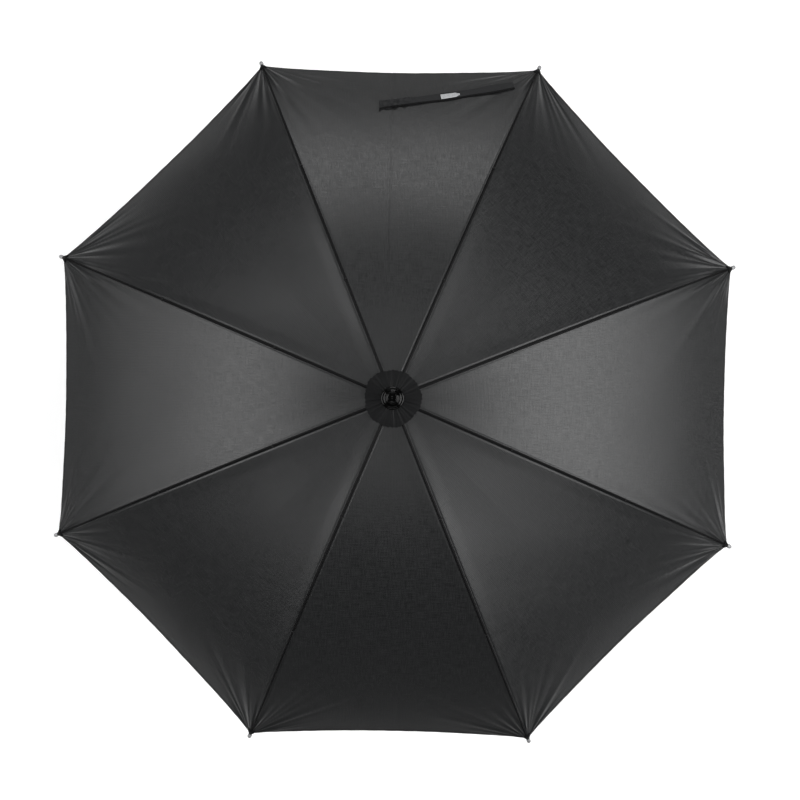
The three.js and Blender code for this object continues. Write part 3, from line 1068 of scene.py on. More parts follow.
@dataclass
class Canopy:
    """Eight panels of cloth, each sewn to two ribs, with their hems, seams and stitches."""

    line: RibLine
    wardrobe: Wardrobe
    rows: int = 170
    hem_rows: int = 14
    seam_columns: int = 10
    open_columns: int = 48
    hem_zone: float = 14 * MM
    seam_zone: float = 9 * MM
    row_crowding: float = 1.5  # above 1, the rows stand closer towards the hem
    crowding: float = 0.6  # share by which columns stand closer at the seam and the middle line
    # Widths of the dark band painted as shade beside the seam and along the hem.
    inner_painted_shade: float = 2.9 * MM
    outer_painted_shade: float = 1.7 * MM
    hem_painted_shade: float = 2.2 * MM
    painted_shade_change: float = 440 * MM  # where the painted shade beside the seam narrows, as the rib's tube ends
    cloth_thickness: float = 0.5 * MM
    stitch_length: float = 3.4 * MM
    stitch_width: float = 0.7 * MM
    seam_row: float = 2.2 * MM  # how far the stitches are from the rib
    hem_row: float = 0.8  # share of the hem's width
    row_margins: tuple[float, float] = (50 * MM, 4 * MM)  # bare ends of the seam's row
    gore_share: float = 0.535  # a half panel's area, as a share of its width times its length

    def build(self) -> None:
        """Make the sixteen half panels and what is sewn to them."""
        stitch = self.stitch()
        for panel in range(1, RIB_COUNT + 1):
            for side in Side:
                half = HalfPanel(panel, side, self.line, pull_folds(panel, side))
                sheet = self.half_sheet(half)
                rows = self.stitching(half, stitch)
                width = half.spot(np.array(half.END), np.array(1.0))[0] * math.tan(HALF_PITCH)
                f"rib_{half.rib}"
                LOG.info("%s and %s on rib %d", sheet.name, rows.name, half.rib)
        discard(stitch)

    def spread(self, half: HalfPanel, grid: np.ndarray) -> tuple[np.ndarray, np.ndarray]:
        """Turn grid places into cloth places, with the finest cells at the hem and the seam.

        Args:
            half: the half panel.
            grid: points of the flat grid.

        Returns:
            s along the rib, and v across the half panel.
        """
        hem_share = self.hem_rows / (self.rows + self.hem_rows)
        body_end = half.END - self.hem_zone
        t = grid[:, 0]
        towards_hem = 1 - np.clip(1 - t / (1 - hem_share), 0, 1) ** self.row_crowding
        s = np.where(
            t < 1 - hem_share,
            half.START + (body_end - half.START) * towards_hem,
            body_end + self.hem_zone * (t - 1 + hem_share) / hem_share,
        )
        seam_share = self.seam_columns / (self.seam_columns + self.open_columns)
        half_width = half.spot(s, np.ones_like(s))[:, 1]
        seam_v = np.minimum(self.seam_zone / half_width, 0.5)
        u = grid[:, 1]
        from_seam = np.clip((u - seam_share) / (1 - seam_share), 0, 1)
        from_seam = from_seam - self.crowding * np.sin(2 * math.pi * from_seam) / (2 * math.pi)
        v = np.where(u < seam_share, seam_v * u / seam_share, seam_v + (1 - seam_v) * from_seam)
        return s, v

    def half_sheet(self, half: HalfPanel) -> Piece:
        """One half panel, with its thickness and its map.

        Args:
            half: where it lies.

        Returns:
            The sheet.
        """
        columns = self.seam_columns + self.open_columns
        sheet = unit_grid(f"cloth_{half.body}", self.rows + self.hem_rows, columns)
        s, v = self.spread(half, corners(sheet))
        flat = half.spot(s, v)
        reshape(sheet, lambda _: half.surface(s, v))
        from_middle = flat[:, 0] * math.sin(HALF_PITCH) - flat[:, 1] * math.cos(HALF_PITCH)
        lay_map(sheet, np.c_[-half.side.value * from_middle, s])
        if half.side is Side.CCW:
            turn_over(sheet)
        dress(sheet, self.wardrobe.cloth)
        # The second material is painted shade: a dark band beside the seam and along the hem, where shade
        # falls.
        sheet.data.materials.append(self.wardrobe.pocket_cloth_and_painted_shade)
        for face in sheet.data.polygons:
            corner = list(face.vertices)
            face.material_index = int(self.in_painted_shade(half, s[corner].mean(), flat[corner, 1].mean()))
        thicken(sheet, self.cloth_thickness)
        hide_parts(half.body)
        half.follow(sheet)
        return sheet

    def in_painted_shade(self, half: HalfPanel, s: float, beside: float) -> bool:
        """Whether a place on a half panel lies in the dark band of painted shade beside its seam or along its
        hem.

        Args:
            half: the half panel.
            s: distance along the rib.
            beside: distance from the rib.

        Returns:
            True in the painted shade.
        """
        width = self.inner_painted_shade if s < self.painted_shade_change else self.outer_painted_shade
        return bool(beside < width or half.END - s < self.hem_painted_shade)

    def stitch(self) -> Piece:
        """One stitch of thread: a low bead that lies along X.

        Returns:
            The stitch, at the origin.
        """
        deselect()
        bpy.ops.mesh.primitive_uv_sphere_add(
            segments=6,
            ring_count=4,
            radius=0.5,
            location=(0, 0, 0),
            scale=(self.stitch_length * 0.72, self.stitch_width, self.stitch_width * 0.8),
        )
        return settle(bpy.context.object, "stitch")

    def stitching(self, half: HalfPanel, stitch: Piece) -> Piece:
        """The rows of stitches on one half panel: along the hem, and beside the seam.

        Args:
            half: the half panel.
            stitch: one stitch.

        Returns:
            Both rows as one piece.
        """
        hem_s = half.END - self.hem_row * half.HEM_WIDTH
        hem_width = float(half.spot(np.array(hem_s), np.array(1.0))[1])
        hem_count = int(hem_width / self.stitch_length / math.cos(HALF_PITCH))
        hem_v = (np.arange(hem_count) + 0.5) / hem_count
        inner_margin, outer_margin = self.row_margins
        seam_s = np.arange(half.START + inner_margin, half.END - outer_margin, self.stitch_length)
        seam_width = half.spot(seam_s, np.ones_like(seam_s))[:, 1]
        along = np.concatenate([np.full(hem_count, hem_s), seam_s])
        across = np.concatenate([hem_v, self.seam_row / seam_width])
        step_s = np.concatenate([np.zeros(hem_count), np.full(len(seam_s), MM)])
        step_v = np.concatenate([np.full(hem_count, 0.002), np.zeros(len(seam_s))])
        here = half.surface(along, across, 0.1 * MM)
        ahead = half.surface(along + step_s, across + step_v, 0.1 * MM)
        above = half.surface(along, across, 1.1 * MM)
        piece = scatter(stitch, f"stitches_{half.body}", frames_between(here, ahead, above))
        dress(piece, self.wardrobe.thread)
        half.follow(piece)
        return piece


def frames_between(here: np.ndarray, ahead: np.ndarray, above: np.ndarray) -> list[Matrix]:
    """Places that lie at points of a surface, with X ahead and Z up from it.

    Args:
        here: the points.
        ahead: a point further on from each.
        above: a point over each.

    Returns:
        One matrix for each point.
    """
    x = ahead - here
    x /= np.linalg.norm(x, axis=1)[:, None]
    up = above - here
    y = np.cross(up, x)
    y /= np.linalg.norm(y, axis=1)[:, None]
    z = np.cross(x, y)
    places = []
    for row in zip(here, x, y, z):
        place = np.eye(4)
        place[:3, 3], place[:3, 0], place[:3, 1], place[:3, 2] = row
        places.append(Matrix(place.tolist()))
    return places


@dataclass
class Rosette:
    """The gathered disc of spare cloth on the crown, with a pinked edge, in sixteen sectors."""

    line: RibLine
    wardrobe: Wardrobe
    radius: float = 47 * MM
    bore: float = 8.6 * MM
    offset: float = 5.0 * MM
    thickness: float = 0.6 * MM
    rings: int = 26
    spokes: int = 24
    pink_depth: float = 1.5 * MM
    teeth: int = 44
    sector_share: float = 0.62  # a sector's area, as a share of its width times its length
    hang_lean: float = math.radians(30)

    def build(self) -> None:
        """Make the sectors, one on each side of each rib."""
        for rib in range(1, RIB_COUNT + 1):
            for side in Side:
                sector = self.sector(rib, side)
                turn = rib_azimuth(rib)
                start = Vector((math.cos(turn), math.sin(turn), 0)) * self.line.pivot_radius
                start.z = self.line.crown_z
                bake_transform(sector)
        LOG.info("rosette, %d sectors", 2 * RIB_COUNT)

    def sector(self, rib: int, side: Side) -> Piece:
        """One sector, from a rib to the middle line of the panel beside it.

        Args:
            rib: the rib's number.
            side: the side of the rib.

        Returns:
            The sector.
        """
        sector = unit_grid(f"rosette_{rib}_{side.name.lower()}", self.rings, self.spokes)
        grid = corners(sector)
        azimuth = rib_azimuth(rib) + side.value * HALF_PITCH * grid[:, 1]
        edge = self.radius + self.ragged(azimuth)
        radius = self.bore + (edge - self.bore) * grid[:, 0]
        reshape(sector, lambda _: self.place(radius, azimuth))
        lay_map(sector, np.c_[radius * np.cos(azimuth), radius * np.sin(azimuth)])
        if side is Side.CCW:
            turn_over(sector)
        thicken(sector, self.thickness)
        dress(sector, self.wardrobe.rosette)
        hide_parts("rosette")
        return sector

    def ragged(self, azimuth: np.ndarray) -> np.ndarray:
        """How far the pinked edge stands out from its mean circle."""
        saw = 2 * np.abs((azimuth * self.teeth / (2 * math.pi)) % 1 - 0.5)
        wander = np.sin(3 * azimuth + 1) + 0.8 * np.sin(5 * azimuth + 2) + 0.5 * np.sin(13 * azimuth)
        return self.pink_depth * (saw - 0.5) + wander * MM

    def place(self, radius: np.ndarray, azimuth: np.ndarray) -> np.ndarray:
        """Lay the disc on the cloth, pressed flat at the crown and pleated towards its edge.

        Args:
            radius: distance from the shaft's axis.
            azimuth: direction from it.

        Returns:
            The points.
        """
        s = radius - self.line.pivot_radius
        _, z = self.line.point(s, self.offset)
        beside = np.abs((azimuth / PITCH) % 1 - 0.5) * 2  # 0 at a rib, 1 at a panel's middle
        out = np.clip((radius - self.bore) / (self.radius - self.bore), 0, 1.1)
        pleats = np.sin(24 * azimuth + 1.3 * np.sin(3 * azimuth)) + 0.6 * np.sin(37 * azimuth + 2)
        lift = 0.36 * MM * pleats * out * (1.2 - out) * 2.4
        sag = 0.016 * radius * beside * (2 - beside)
        curl = 0.5 * MM * np.sin(7 * azimuth) * out**3
        height = z + lift - 0.5 * sag + curl
        return np.stack([radius * np.cos(azimuth), radius * np.sin(azimuth), height], -1)


@dataclass
class TieStrap:
    """The strap that holds the shut umbrella together, lying loose on panel 2."""

    line: RibLine
    wardrobe: Wardrobe
    sewn_end: tuple[float, float] = (201 * MM, 559 * MM)
    middle: tuple[float, float] = (0.0, 521 * MM)
    free_end: tuple[float, float] = (-34 * MM, 514.5 * MM)
    tail_length: float = 50 * MM  # cut longer than the place it is bunched up in
    width: float = 16 * MM
    thickness: float = 1.1 * MM
    rise: float = 3.2 * MM
    painted_shadow_edge: float = 0.6  # share of the half width beyond which the lower edge is painted dark, a painted shadow along it
    label_span: tuple[float, float] = (73 * MM, 106 * MM)
    label_width: float = 9 * MM
    steps: int = 120
    cells: int = 14

    def build(self) -> None:
        """Make the strap's two lengths, on either side of the panel's middle line, and the label."""
        right, left = (HalfPanel(2, side, self.line, pull_folds(2, side)) for side in Side)
        strap = self.length(right, (self.sewn_end, self.middle), "tie_strap_sewn", self.steps)
        tail = self.length(left, (self.middle, self.free_end), "tie_strap_tail", self.steps // 4)
        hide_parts("tie_strap")
        label = self.label(right)
        hook = self.hook_patch(left)
        for piece, half in ((strap, right), (tail, left), (label, right), (hook, left)):
            half.follow(piece)
            LOG.info("%s", piece.name)

    def cloth_height(self, half: HalfPanel, x: np.ndarray, y: np.ndarray) -> np.ndarray:
        """Height of the smooth cloth under points of panel 2.

        Args:
            half: the half panel under them.
            x: across the panel.
            y: outwards.

        Returns:
            z at each point.
        """
        from_rib = np.tan(np.clip(HALF_PITCH - np.abs(np.arctan2(x, y)), 0, HALF_PITCH))
        v = from_rib / (math.sin(HALF_PITCH) * (math.cos(HALF_PITCH) + math.sin(HALF_PITCH) * from_rib))
        low, high = np.full_like(x, half.START), np.full_like(x, half.END + 20 * MM)
        radius = np.hypot(x, y)
        for _ in range(30):
            middle = (low + high) / 2
            spot = half.spot(middle, v)
            short = np.hypot(spot[..., 0], spot[..., 1]) < radius
            low, high = np.where(short, middle, low), np.where(short, high, middle)
        return half.spot(low, v)[..., 2]

    def ruffle(self, x: np.ndarray, across: np.ndarray) -> np.ndarray:
        """How the strap buckles off the cloth: slow waves, and a crumpled free end.

        Args:
            x: across the panel.
            across: share of the strap's width, from -1 to 1.

        Returns:
            How far it lifts.
        """
        waves = 1.1 * np.sin(x / (21 * MM) + 0.5) + 0.9 * np.sin(x / (8 * MM)) * across
        crumple = ramp((45 * MM - x) / (50 * MM))
        folds = 1.7 * np.sin(x / (2.4 * MM) + 2.2 * across)
        folds += 1.2 * np.sin(x / (3.9 * MM) - 3 * across + 1)
        edge_lift = 1.3 * ramp((across - 0.2) / 0.8) * (0.6 + 0.4 * np.sin(x / (33 * MM) + 2))
        return MM * (waves * 0.6 + crumple * folds + edge_lift + 1.2 * crumple)

    def spot(self, half: HalfPanel, place: Sequence, ends: Sequence, rise: float) -> np.ndarray:
        """Places on the strap.

        Args:
            half: the half panel under this length.
            place: share of the length, and share of the width from -1 to 1, as arrays.
            ends: this length's first and last point.
            rise: height over the cloth.

        Returns:
            The points.
        """
        along, across = place
        (x_from, y_from), (x_to, y_to) = ends
        x = x_from + (x_to - x_from) * along
        y = y_from + (y_to - y_from) * along
        slope = (self.sewn_end[1] - self.middle[1]) / (self.sewn_end[0] - self.middle[0])
        belly = -2.2 * MM * np.sin(np.clip(x / self.sewn_end[0], 0, 1) * math.pi)
        pinch = 1 - 0.16 * np.sin(x / (26 * MM)) ** 2 * (x > 0)
        y = y + belly + across * self.width / 2 * pinch
        x = x - across * self.width / 2 * slope * np.where(x > 2 * MM, 1, np.clip(x / (2 * MM), 0, 1))
        height = self.cloth_height(half, x, y)
        return np.stack([x, y, height + rise + self.ruffle(x, across)], -1)

    def length(self, half: HalfPanel, ends: Sequence, name: str, steps: int) -> Piece:
        """One length of the strap.

        Args:
            half: the half panel under it.
            ends: where it begins and ends, seen from above.
            name: its name.
            steps: cells along it.

        Returns:
            The strap's length, with thickness.
        """
        strap = unit_grid(name, steps, self.cells)
        grid = corners(strap)
        along, across = 1 - grid[:, 0], 2 * grid[:, 1] - 1
        reshape(strap, lambda _: self.spot(half, (along, across), ends, self.rise))
        lay_map(strap, np.c_[across * self.width / 2, along * math.dist(*ends)])
        dress(strap, self.wardrobe.tape)
        # The strap's lower edge is painted dark, a painted shadow along the strap.
        strap.data.materials.append(self.wardrobe.pocket_cloth_and_painted_shade)
        for face in strap.data.polygons:
            face.material_index = int(across[list(face.vertices)].mean() < -self.painted_shadow_edge)
        return thicken(strap, self.thickness)

    def label(self, half: HalfPanel) -> Piece:
        """A plain pale woven tab sewn on the strap.

        Args:
            half: the half panel under it.

        Returns:
            The tab, with nothing on it.
        """
        label = unit_grid("strap_label", 40, 10)
        grid = corners(label)
        low, high = self.label_span
        x = high + (low - high) * (1 - grid[:, 0])
        along = (self.sewn_end[0] - x) / (self.sewn_end[0] - self.middle[0])
        taper = 1 - 0.6 * ramp((x - high + 9 * MM) / (9 * MM))
        across = (2 * grid[:, 1] - 1) * taper * self.label_width / self.width + 0.12
        ends, rise = (self.sewn_end, self.middle), self.rise + 0.5 * MM
        reshape(label, lambda _: self.spot(half, (along, across), ends, rise))
        lay_map(label, np.c_[x, across * self.width / 2])
        modify(label, "SOLIDIFY", thickness=0.45 * MM, offset=-1)
        modify(label, "BEVEL", width=0.12 * MM, segments=2, limit_method="ANGLE")
        smooth(label, 50)
        return dress(label, self.wardrobe.label)

    def hook_patch(self, half: HalfPanel) -> Piece:
        """The patch of hooks sewn under the free end.

        Args:
            half: the half panel under it.

        Returns:
            The patch, a little wider than the strap.
        """
        patch = unit_grid("hook_patch", 20, 12)
        grid = corners(patch)
        along, across = 1.02 - 0.7 * grid[:, 0], 1.12 * (2 * grid[:, 1] - 1)
        ends, rise = (self.middle, self.free_end), self.rise - 1.1 * MM
        reshape(patch, lambda _: self.spot(half, (along, across), ends, rise))
        lay_map(patch, np.c_[across * self.width / 2, along * 30 * MM])
        return dress(thicken(patch, 0.8 * MM), self.wardrobe.tape)


@dataclass
class Ribs:
    """The eight ribs with their tips, stretcher joints and the thread that ties the cloth to them."""

    line: RibLine
    wardrobe: Wardrobe
    tube_radius: float = 2.3 * MM
    rod_radius: float = 1.7 * MM
    rod_start: float = 10 * MM
    tube_end: float = 440 * MM
    rod_end: float = 715.5 * MM
    eye_radius: float = 2.6 * MM
    eye_thickness: float = 1.6 * MM
    eye_hole: float = 1.1 * MM
    neck_height: float = 3.4 * MM
    tip_start: float = 716 * MM
    tip_end: float = 742 * MM
    joint_station: float = 352 * MM
    joint_drop: float = 7 * MM
    tie_stations: tuple[float, ...] = (205 * MM, 441.5 * MM)
    whipping: tuple[float, float] = (727.4 * MM, 729.8 * MM)
    pocket_start: float = 715 * MM

    def build(self) -> None:
        """Make one of each piece and copy it round the shaft."""
        looks = self.wardrobe
        kinds = (
            (self.rib(), "rib_rod", "rib", looks.rod, "rib_rod"),
            (self.tip(), "rib_end", "rib_tip", looks.nickel, "tip_nickel"),
            (self.joint(), "stretcher_saddle", "rib_joint", looks.nylon, "nylon_black"),
            (self.ties(), "tie_threads", None, looks.thread, "canopy_cloth"),
            (self.corner_pocket(), "corner_pocket", None, looks.pocket_cloth_and_painted_shade, "canopy_cloth"),
        )
        for number in range(1, RIB_COUNT + 1):
            for template, name, node, material, slot in kinds:
                piece = copy_round(template, f"{name}_{number}", rib_azimuth(number))
                fit(piece, material, f"rib_{number}", node and f"{node}_{number}")
        discard(*(kind[0] for kind in kinds))

    def rib(self) -> Piece:
        """A rib at azimuth 0: an eye, a tube with a crimped collar, and a slimmer rod.

        Returns:
            The rib.
        """
        tube, rod, step = self.tube_radius, self.rod_radius, 12 * MM
        stations = [
            (rod, self.rod_start - 2 * MM),
            (tube, self.rod_start),
            *[(tube, s) for s in np.arange(2 * step, self.tube_end - step, step)],
            *outline((tube, self.tube_end), (0, -9), (-0.25, -8), (-0.25, -6), (0, -5), (0, -0.5)),
            (rod, self.tube_end),
            *[(rod, s) for s in np.arange(self.tube_end + step, self.rod_end - step / 2, step)],
            (rod, self.rod_end),
        ]
        rib = turned("rib", stations, 20)
        reshape(rib, self.line.bend)
        wide, tall = self.eye_thickness / 2, self.neck_height / 2
        flat = rounded_block("neck", (0, -wide, -tall), (self.rod_start + 4 * MM, wide, tall), 0.3 * MM)
        droop = Matrix.Rotation(self.rod_start / 2 / self.line.arc_radius, 4, "Y")
        flat.data.transform(self.line.matrix(0) @ droop)
        x, z = self.line.pivot_radius, self.line.crown_z
        carve(flat, cross_pin("eye", self.eye_radius, self.eye_thickness, x, z), "UNION")
        carve(flat, cross_pin("hole", self.eye_hole, 4 * self.eye_thickness, x, z))
        carve(rib, flat, "UNION")
        return smooth(rib)

    def tip(self) -> Piece:
        """A tip: a plated cup on the rod's end, with a waist for the thread and a rounded bead.

        Returns:
            The tip, at azimuth 0.
        """
        cup, bead, waist = (2.5 * MM, self.tip_start), (3.7 * MM, self.tip_end), 1.75 * MM
        profile = [
            *outline(cup, (-0.5, 0), (0, 0.5), (0, 3), (-0.2, 3.4), (-0.2, 4), (0, 4.4)),
            *outline(cup, (0, 9), (-0.3, 9.8)),
            (waist, self.tip_start + 10.8 * MM),
            *outline((waist, self.tip_end), (0, -10.2), (0.5, -9.6)),
            *outline(bead, (-0.5, -8.4), (0, -6.4), (0, -2.6), (-0.3, -1.3), (-0.9, -0.5), (-1.9, 0)),
        ]
        tip = turned("tip", profile, 28)
        reshape(tip, self.line.bend)
        return smooth(tip, 50)

    def corner_pocket(self) -> Piece:
        """The folded corner of cloth that the tip is pushed into, flat and narrowing outwards.

        Returns:
            The pocket, at azimuth 0.
        """
        profile = [
            *outline((0, self.pocket_start), (4.8, 0), (6.9, 1), (7.1, 4), (6.1, 7), (4.8, 10)),
            *outline((0, self.pocket_start), (3.5, 13), (2.8, 15), (2.1, 15.5)),
        ]
        pocket = turned("pocket", profile, 24)
        reshape(pocket, lambda points: self.line.bend(points * (1, 0.5, 1) + (0, 1 * MM, 0)))
        lay_map(pocket, corners(pocket)[:, :2])
        return smooth(pocket, 60)

    def joint(self) -> Piece:
        """The saddle that is clipped round the rib, with the lug and rivet the stretcher turns on.

        Returns:
            The saddle, at azimuth 0.
        """
        half, wide, floor, bore_radius = 7 * MM, 3.8 * MM, 3.6 * MM, 2.9 * MM
        saddle = rounded_block("joint", (-half, -wide, -floor), (half, wide, 1 * MM), 0.8 * MM)
        bore = cross_pin("bore", bore_radius, 6 * half)
        bore.data.transform(Matrix.Rotation(math.pi / 2, 4, "Z"))
        carve(saddle, bore)
        carve(saddle, rounded_block("mouth", (-2 * half, -bore_radius, 0), (2 * half, bore_radius, 3 * MM)))
        eye, lug_half, drop = self.eye_radius, 0.9 * MM, -self.joint_drop
        lug = rounded_block("lug", (-eye, -lug_half, drop), (eye, lug_half, 0.4 * MM - floor))
        carve(lug, cross_pin("eye", eye, 2 * lug_half, z=drop), "UNION")
        carve(saddle, lug, "UNION")
        carve(saddle, cross_pin("rivet", 1 * MM, 6.4 * MM, z=drop), "UNION")
        for side in (-1, 1):
            head = cross_pin("head", 1.6 * MM, 0.5 * MM, z=drop)
            head.data.transform(Matrix.Translation((0, side * 3.1 * MM, 0)))
            carve(saddle, head, "UNION")
        saddle.data.transform(self.line.matrix(self.joint_station))
        return smooth(saddle)

    def ties(self) -> Piece:
        """Thread loops round the rib that pass through the seam, and a whipping at the tip.

        Returns:
            All the thread of one rib, at azimuth 0.
        """
        deselect()
        bpy.ops.mesh.primitive_torus_add(
            major_segments=20,
            minor_segments=6,
            major_radius=1.0,
            minor_radius=0.085,
            rotation=(0, math.pi / 2, 0),
        )
        loop = settle(bpy.context.object, "loop")
        places = []
        for station in self.tie_stations:
            for turn in (-1, 0, 1):
                place = self.line.matrix(station + turn * 0.75 * MM, 1.05 * MM)
                places.append(place @ Matrix.Diagonal((3.6 * MM, 3.1 * MM, 3.75 * MM, 1)))
        for station in np.arange(*self.whipping, 0.7 * MM):
            place = self.line.matrix(station, 0.4 * MM)
            places.append(place @ Matrix.Diagonal((4 * MM, 2.3 * MM, 2.5 * MM, 1)))
        ties = scatter(loop, "ties", places)
        discard(loop)
        return ties


@dataclass
class Stretchers:
    """The eight struts between the runner and the ribs."""

    line: RibLine
    wardrobe: Wardrobe
    pin: tuple[float, float]
    runner_z: float
    radius: float = 2 * MM
    fork_gap: float = 1.3 * MM
    cheek: float = 1.2 * MM

    def build(self) -> None:
        """Make one and copy it round the shaft."""
        strut = self.strut()
        for number in range(1, RIB_COUNT + 1):
            piece = copy_round(strut, f"strut_{number}", rib_azimuth(number))
            node = f"stretcher_{number}"
            fit(piece, self.wardrobe.enamel, node, node)
        discard(strut)

    def strut(self) -> Piece:
        """A round strut with a flattened eye at the runner and a fork at the rib.

        Returns:
            The strut, at azimuth 0.
        """
        run, climb = self.pin[0] - self.line.pivot_radius, self.pin[1] - self.runner_z
        length = math.hypot(run, climb)
        r = self.radius
        crimp = outline((r, length), (0, -14), (-0.3, -13), (-0.3, -10))
        strut = turned("strut", [(r * 0.7, 8 * MM), (r, 10 * MM), (r, 0.5 * length), *crimp], 24)
        strut.data.transform(Matrix.Rotation(math.pi / 2, 4, "Y"))
        neck = rounded_block("neck", (0, -0.8 * MM, -1.7 * MM), (14 * MM, 0.8 * MM, 1.7 * MM), 0.3 * MM)
        carve(neck, cross_pin("eye", 2.6 * MM, 1.6 * MM), "UNION")
        carve(neck, cross_pin("hole", 1.1 * MM, 8 * MM))
        outside = self.fork_gap + self.cheek
        fork = rounded_block("fork", (length - 12 * MM, -outside, -r), (length, outside, r), 0.35 * MM)
        carve(fork, cross_pin("round_end", 2.8 * MM, 2 * outside, length), "UNION")
        gap = self.fork_gap
        carve(fork, rounded_block("mouth", (length - 6 * MM, -gap, -2 * r), (length + 4 * MM, gap, 2 * r)))
        carve(fork, cross_pin("rivet_hole", 1.4 * MM, 10 * MM, length))
        carve(strut, neck, "UNION")
        carve(strut, fork, "UNION")
        place = Matrix.Translation((self.line.pivot_radius, 0, self.runner_z))
        strut.data.transform(place @ Matrix.Rotation(-math.atan2(climb, run), 4, "Y"))
        return smooth(strut)


@dataclass
class Column:
    """The shaft with the crown, the runner, their wire rings and the two spring catches."""

    line: RibLine
    wardrobe: Wardrobe
    runner_z: float
    bore: float = SHAFT_BORE
    notch_radius: float = 15.5 * MM
    groove_radius: float = 11.2 * MM
    groove_height: float = 2.2 * MM
    slot_width: float = 2.6 * MM
    slot_inner: float = 9.5 * MM
    sleeve: float = 45 * MM
    catch_ramp: float = 3.6 * MM

    def build(self) -> None:
        """Make and fit each piece."""
        nylon, spring = self.wardrobe.nylon, self.wardrobe.spring
        fit(self.crown(), nylon, "root", "crown")
        fit(self.runner(), nylon, "runner", "runner")
        fit(self.shaft(), self.wardrobe.enamel, "root", "shaft")
        for node, body, height in (
            ("crown_wire", "root", self.line.crown_z),
            ("runner_wire", "runner", self.runner_z),
        ):
            fit(self.wire(f"{node}_ring", height), spring, body, node)
        for node in ("top_catch", "bottom_catch"):
            fit(self.catch(node), spring, node, node)

    def notches(self, piece: Piece, z: float, low: float, high: float) -> None:
        """Cut the wire's groove and the eight slots for eyes into a turned piece.

        Args:
            piece: the crown or the runner.
            z: height of its wire ring.
            low: bottom of the slots.
            high: top of the slots.
        """
        inner, reach = self.groove_radius, self.notch_radius + 2 * MM
        floor, roof = z - self.groove_height / 2, z + self.groove_height / 2
        profile = [(inner, floor), (reach, floor), (reach, roof), (inner, roof)]
        carve(piece, turned("groove", profile, ROUND, ring=True))
        wide = self.slot_width / 2
        slot = rounded_block("slot", (self.slot_inner, -wide, low), (reach, wide, high))
        for number in range(1, RIB_COUNT + 1):
            carve(piece, copy_round(slot, "slot_copy", rib_azimuth(number)))
        discard(slot)

    def crown(self) -> Piece:
        """The notched crown that the ribs hang from.

        Returns:
            The crown.
        """
        z, r, edge = self.line.crown_z, self.notch_radius, 0.8 * MM
        low, high = z - 7 * MM, z + 3 * MM
        profile = [
            (self.bore, low),
            (r - edge, low),
            (r - 0.25 * edge, low + 0.25 * edge),
            (r, low + edge),
            (r, high - edge),
            (r - 0.25 * edge, high - 0.25 * edge),
            (r - edge, high),
            (self.bore, high),
        ]
        crown = turned("notched_crown", profile, ROUND, ring=True)
        self.notches(crown, z, low - MM, high + MM)
        return smooth(crown)

    def runner(self) -> Piece:
        """The runner: a notched collar on a sleeve with grip rings and a flared skirt.

        Returns:
            The runner.
        """
        z, r, sleeve_r = self.runner_z, self.notch_radius, 12 * MM
        top, shoulder, bottom = z + 3 * MM, z - 7 * MM, z - self.sleeve
        rings = []
        for n in range(5):
            place = (sleeve_r, bottom + 8 * MM + n * 2.4 * MM)
            rings += outline(place, (0, 0), (-0.45, 0.5), (-0.45, 1.1), (0, 1.6))
        profile = [
            (self.bore, bottom),
            *outline((0, bottom), (13.3, 0), (13.8, 0.2), (14, 0.8), (14, 2.4), (13.4, 3.6), (12.4, 5.2)),
            (sleeve_r, bottom + 6.4 * MM),
            *rings,
            (sleeve_r, shoulder - 3 * MM),
            *outline((r, shoulder), (-0.6, -0.2), (0, 0.6)),
            *outline((r, top), (0, -0.8), (-0.2, -0.2), (-0.8, 0)),
            (self.bore, top),
        ]
        runner = turned("runner_sleeve", profile, ROUND, ring=True)
        window = rounded_block("window", (0, -3 * MM, z - 39 * MM), (20 * MM, 3 * MM, z - 19 * MM), 0.7 * MM)
        carve(runner, window)
        self.notches(runner, z, shoulder + MM, top + MM)
        return smooth(runner)

    def shaft(self) -> Piece:
        """The shaft tube with a slot for each catch.

        Returns:
            The tube.
        """
        low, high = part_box("shaft")
        outer = (high.x - low.x) / 2
        inner, edge = outer - MM, 0.25 * MM
        step = 50 * MM
        profile = [
            (inner, low.z),
            (outer - edge, low.z),
            (outer, low.z + edge),
            *[(outer, z) for z in np.arange(low.z + step, high.z - 0.4 * step, step)],
            (outer, high.z - edge),
            (outer - edge, high.z),
            (inner, high.z),
        ]
        shaft = turned("shaft_tube", profile, 64, ring=True)
        for node in ("top_catch", "bottom_catch"):
            bottom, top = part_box(node)
            near, far = (0, -2.3 * MM, bottom.z - MM), (10 * MM, 2.3 * MM, top.z + MM)
            carve(shaft, rounded_block("catch_slot", near, far, 0.4 * MM))
        return smooth(shaft)

    def wire(self, name: str, height: float) -> Piece:
        """A ring of spring wire, with its two twisted ends tucked into the groove.

        Args:
            name: its name.
            height: where it lies.

        Returns:
            The ring.
        """
        deselect()
        bpy.ops.mesh.primitive_torus_add(
            major_segments=96,
            minor_segments=16,
            major_radius=self.line.pivot_radius,
            minor_radius=0.7 * MM,
            location=(0, 0, height),
        )
        wire = settle(bpy.context.object, name)
        bpy.ops.mesh.primitive_cylinder_add(
            vertices=16,
            radius=0.85 * MM,
            depth=5 * MM,
            location=(self.line.pivot_radius, 0, height),
            rotation=(math.pi / 2, 0, 0),
        )
        carve(wire, settle(bpy.context.object, "twist"), "UNION")
        return smooth(wire)

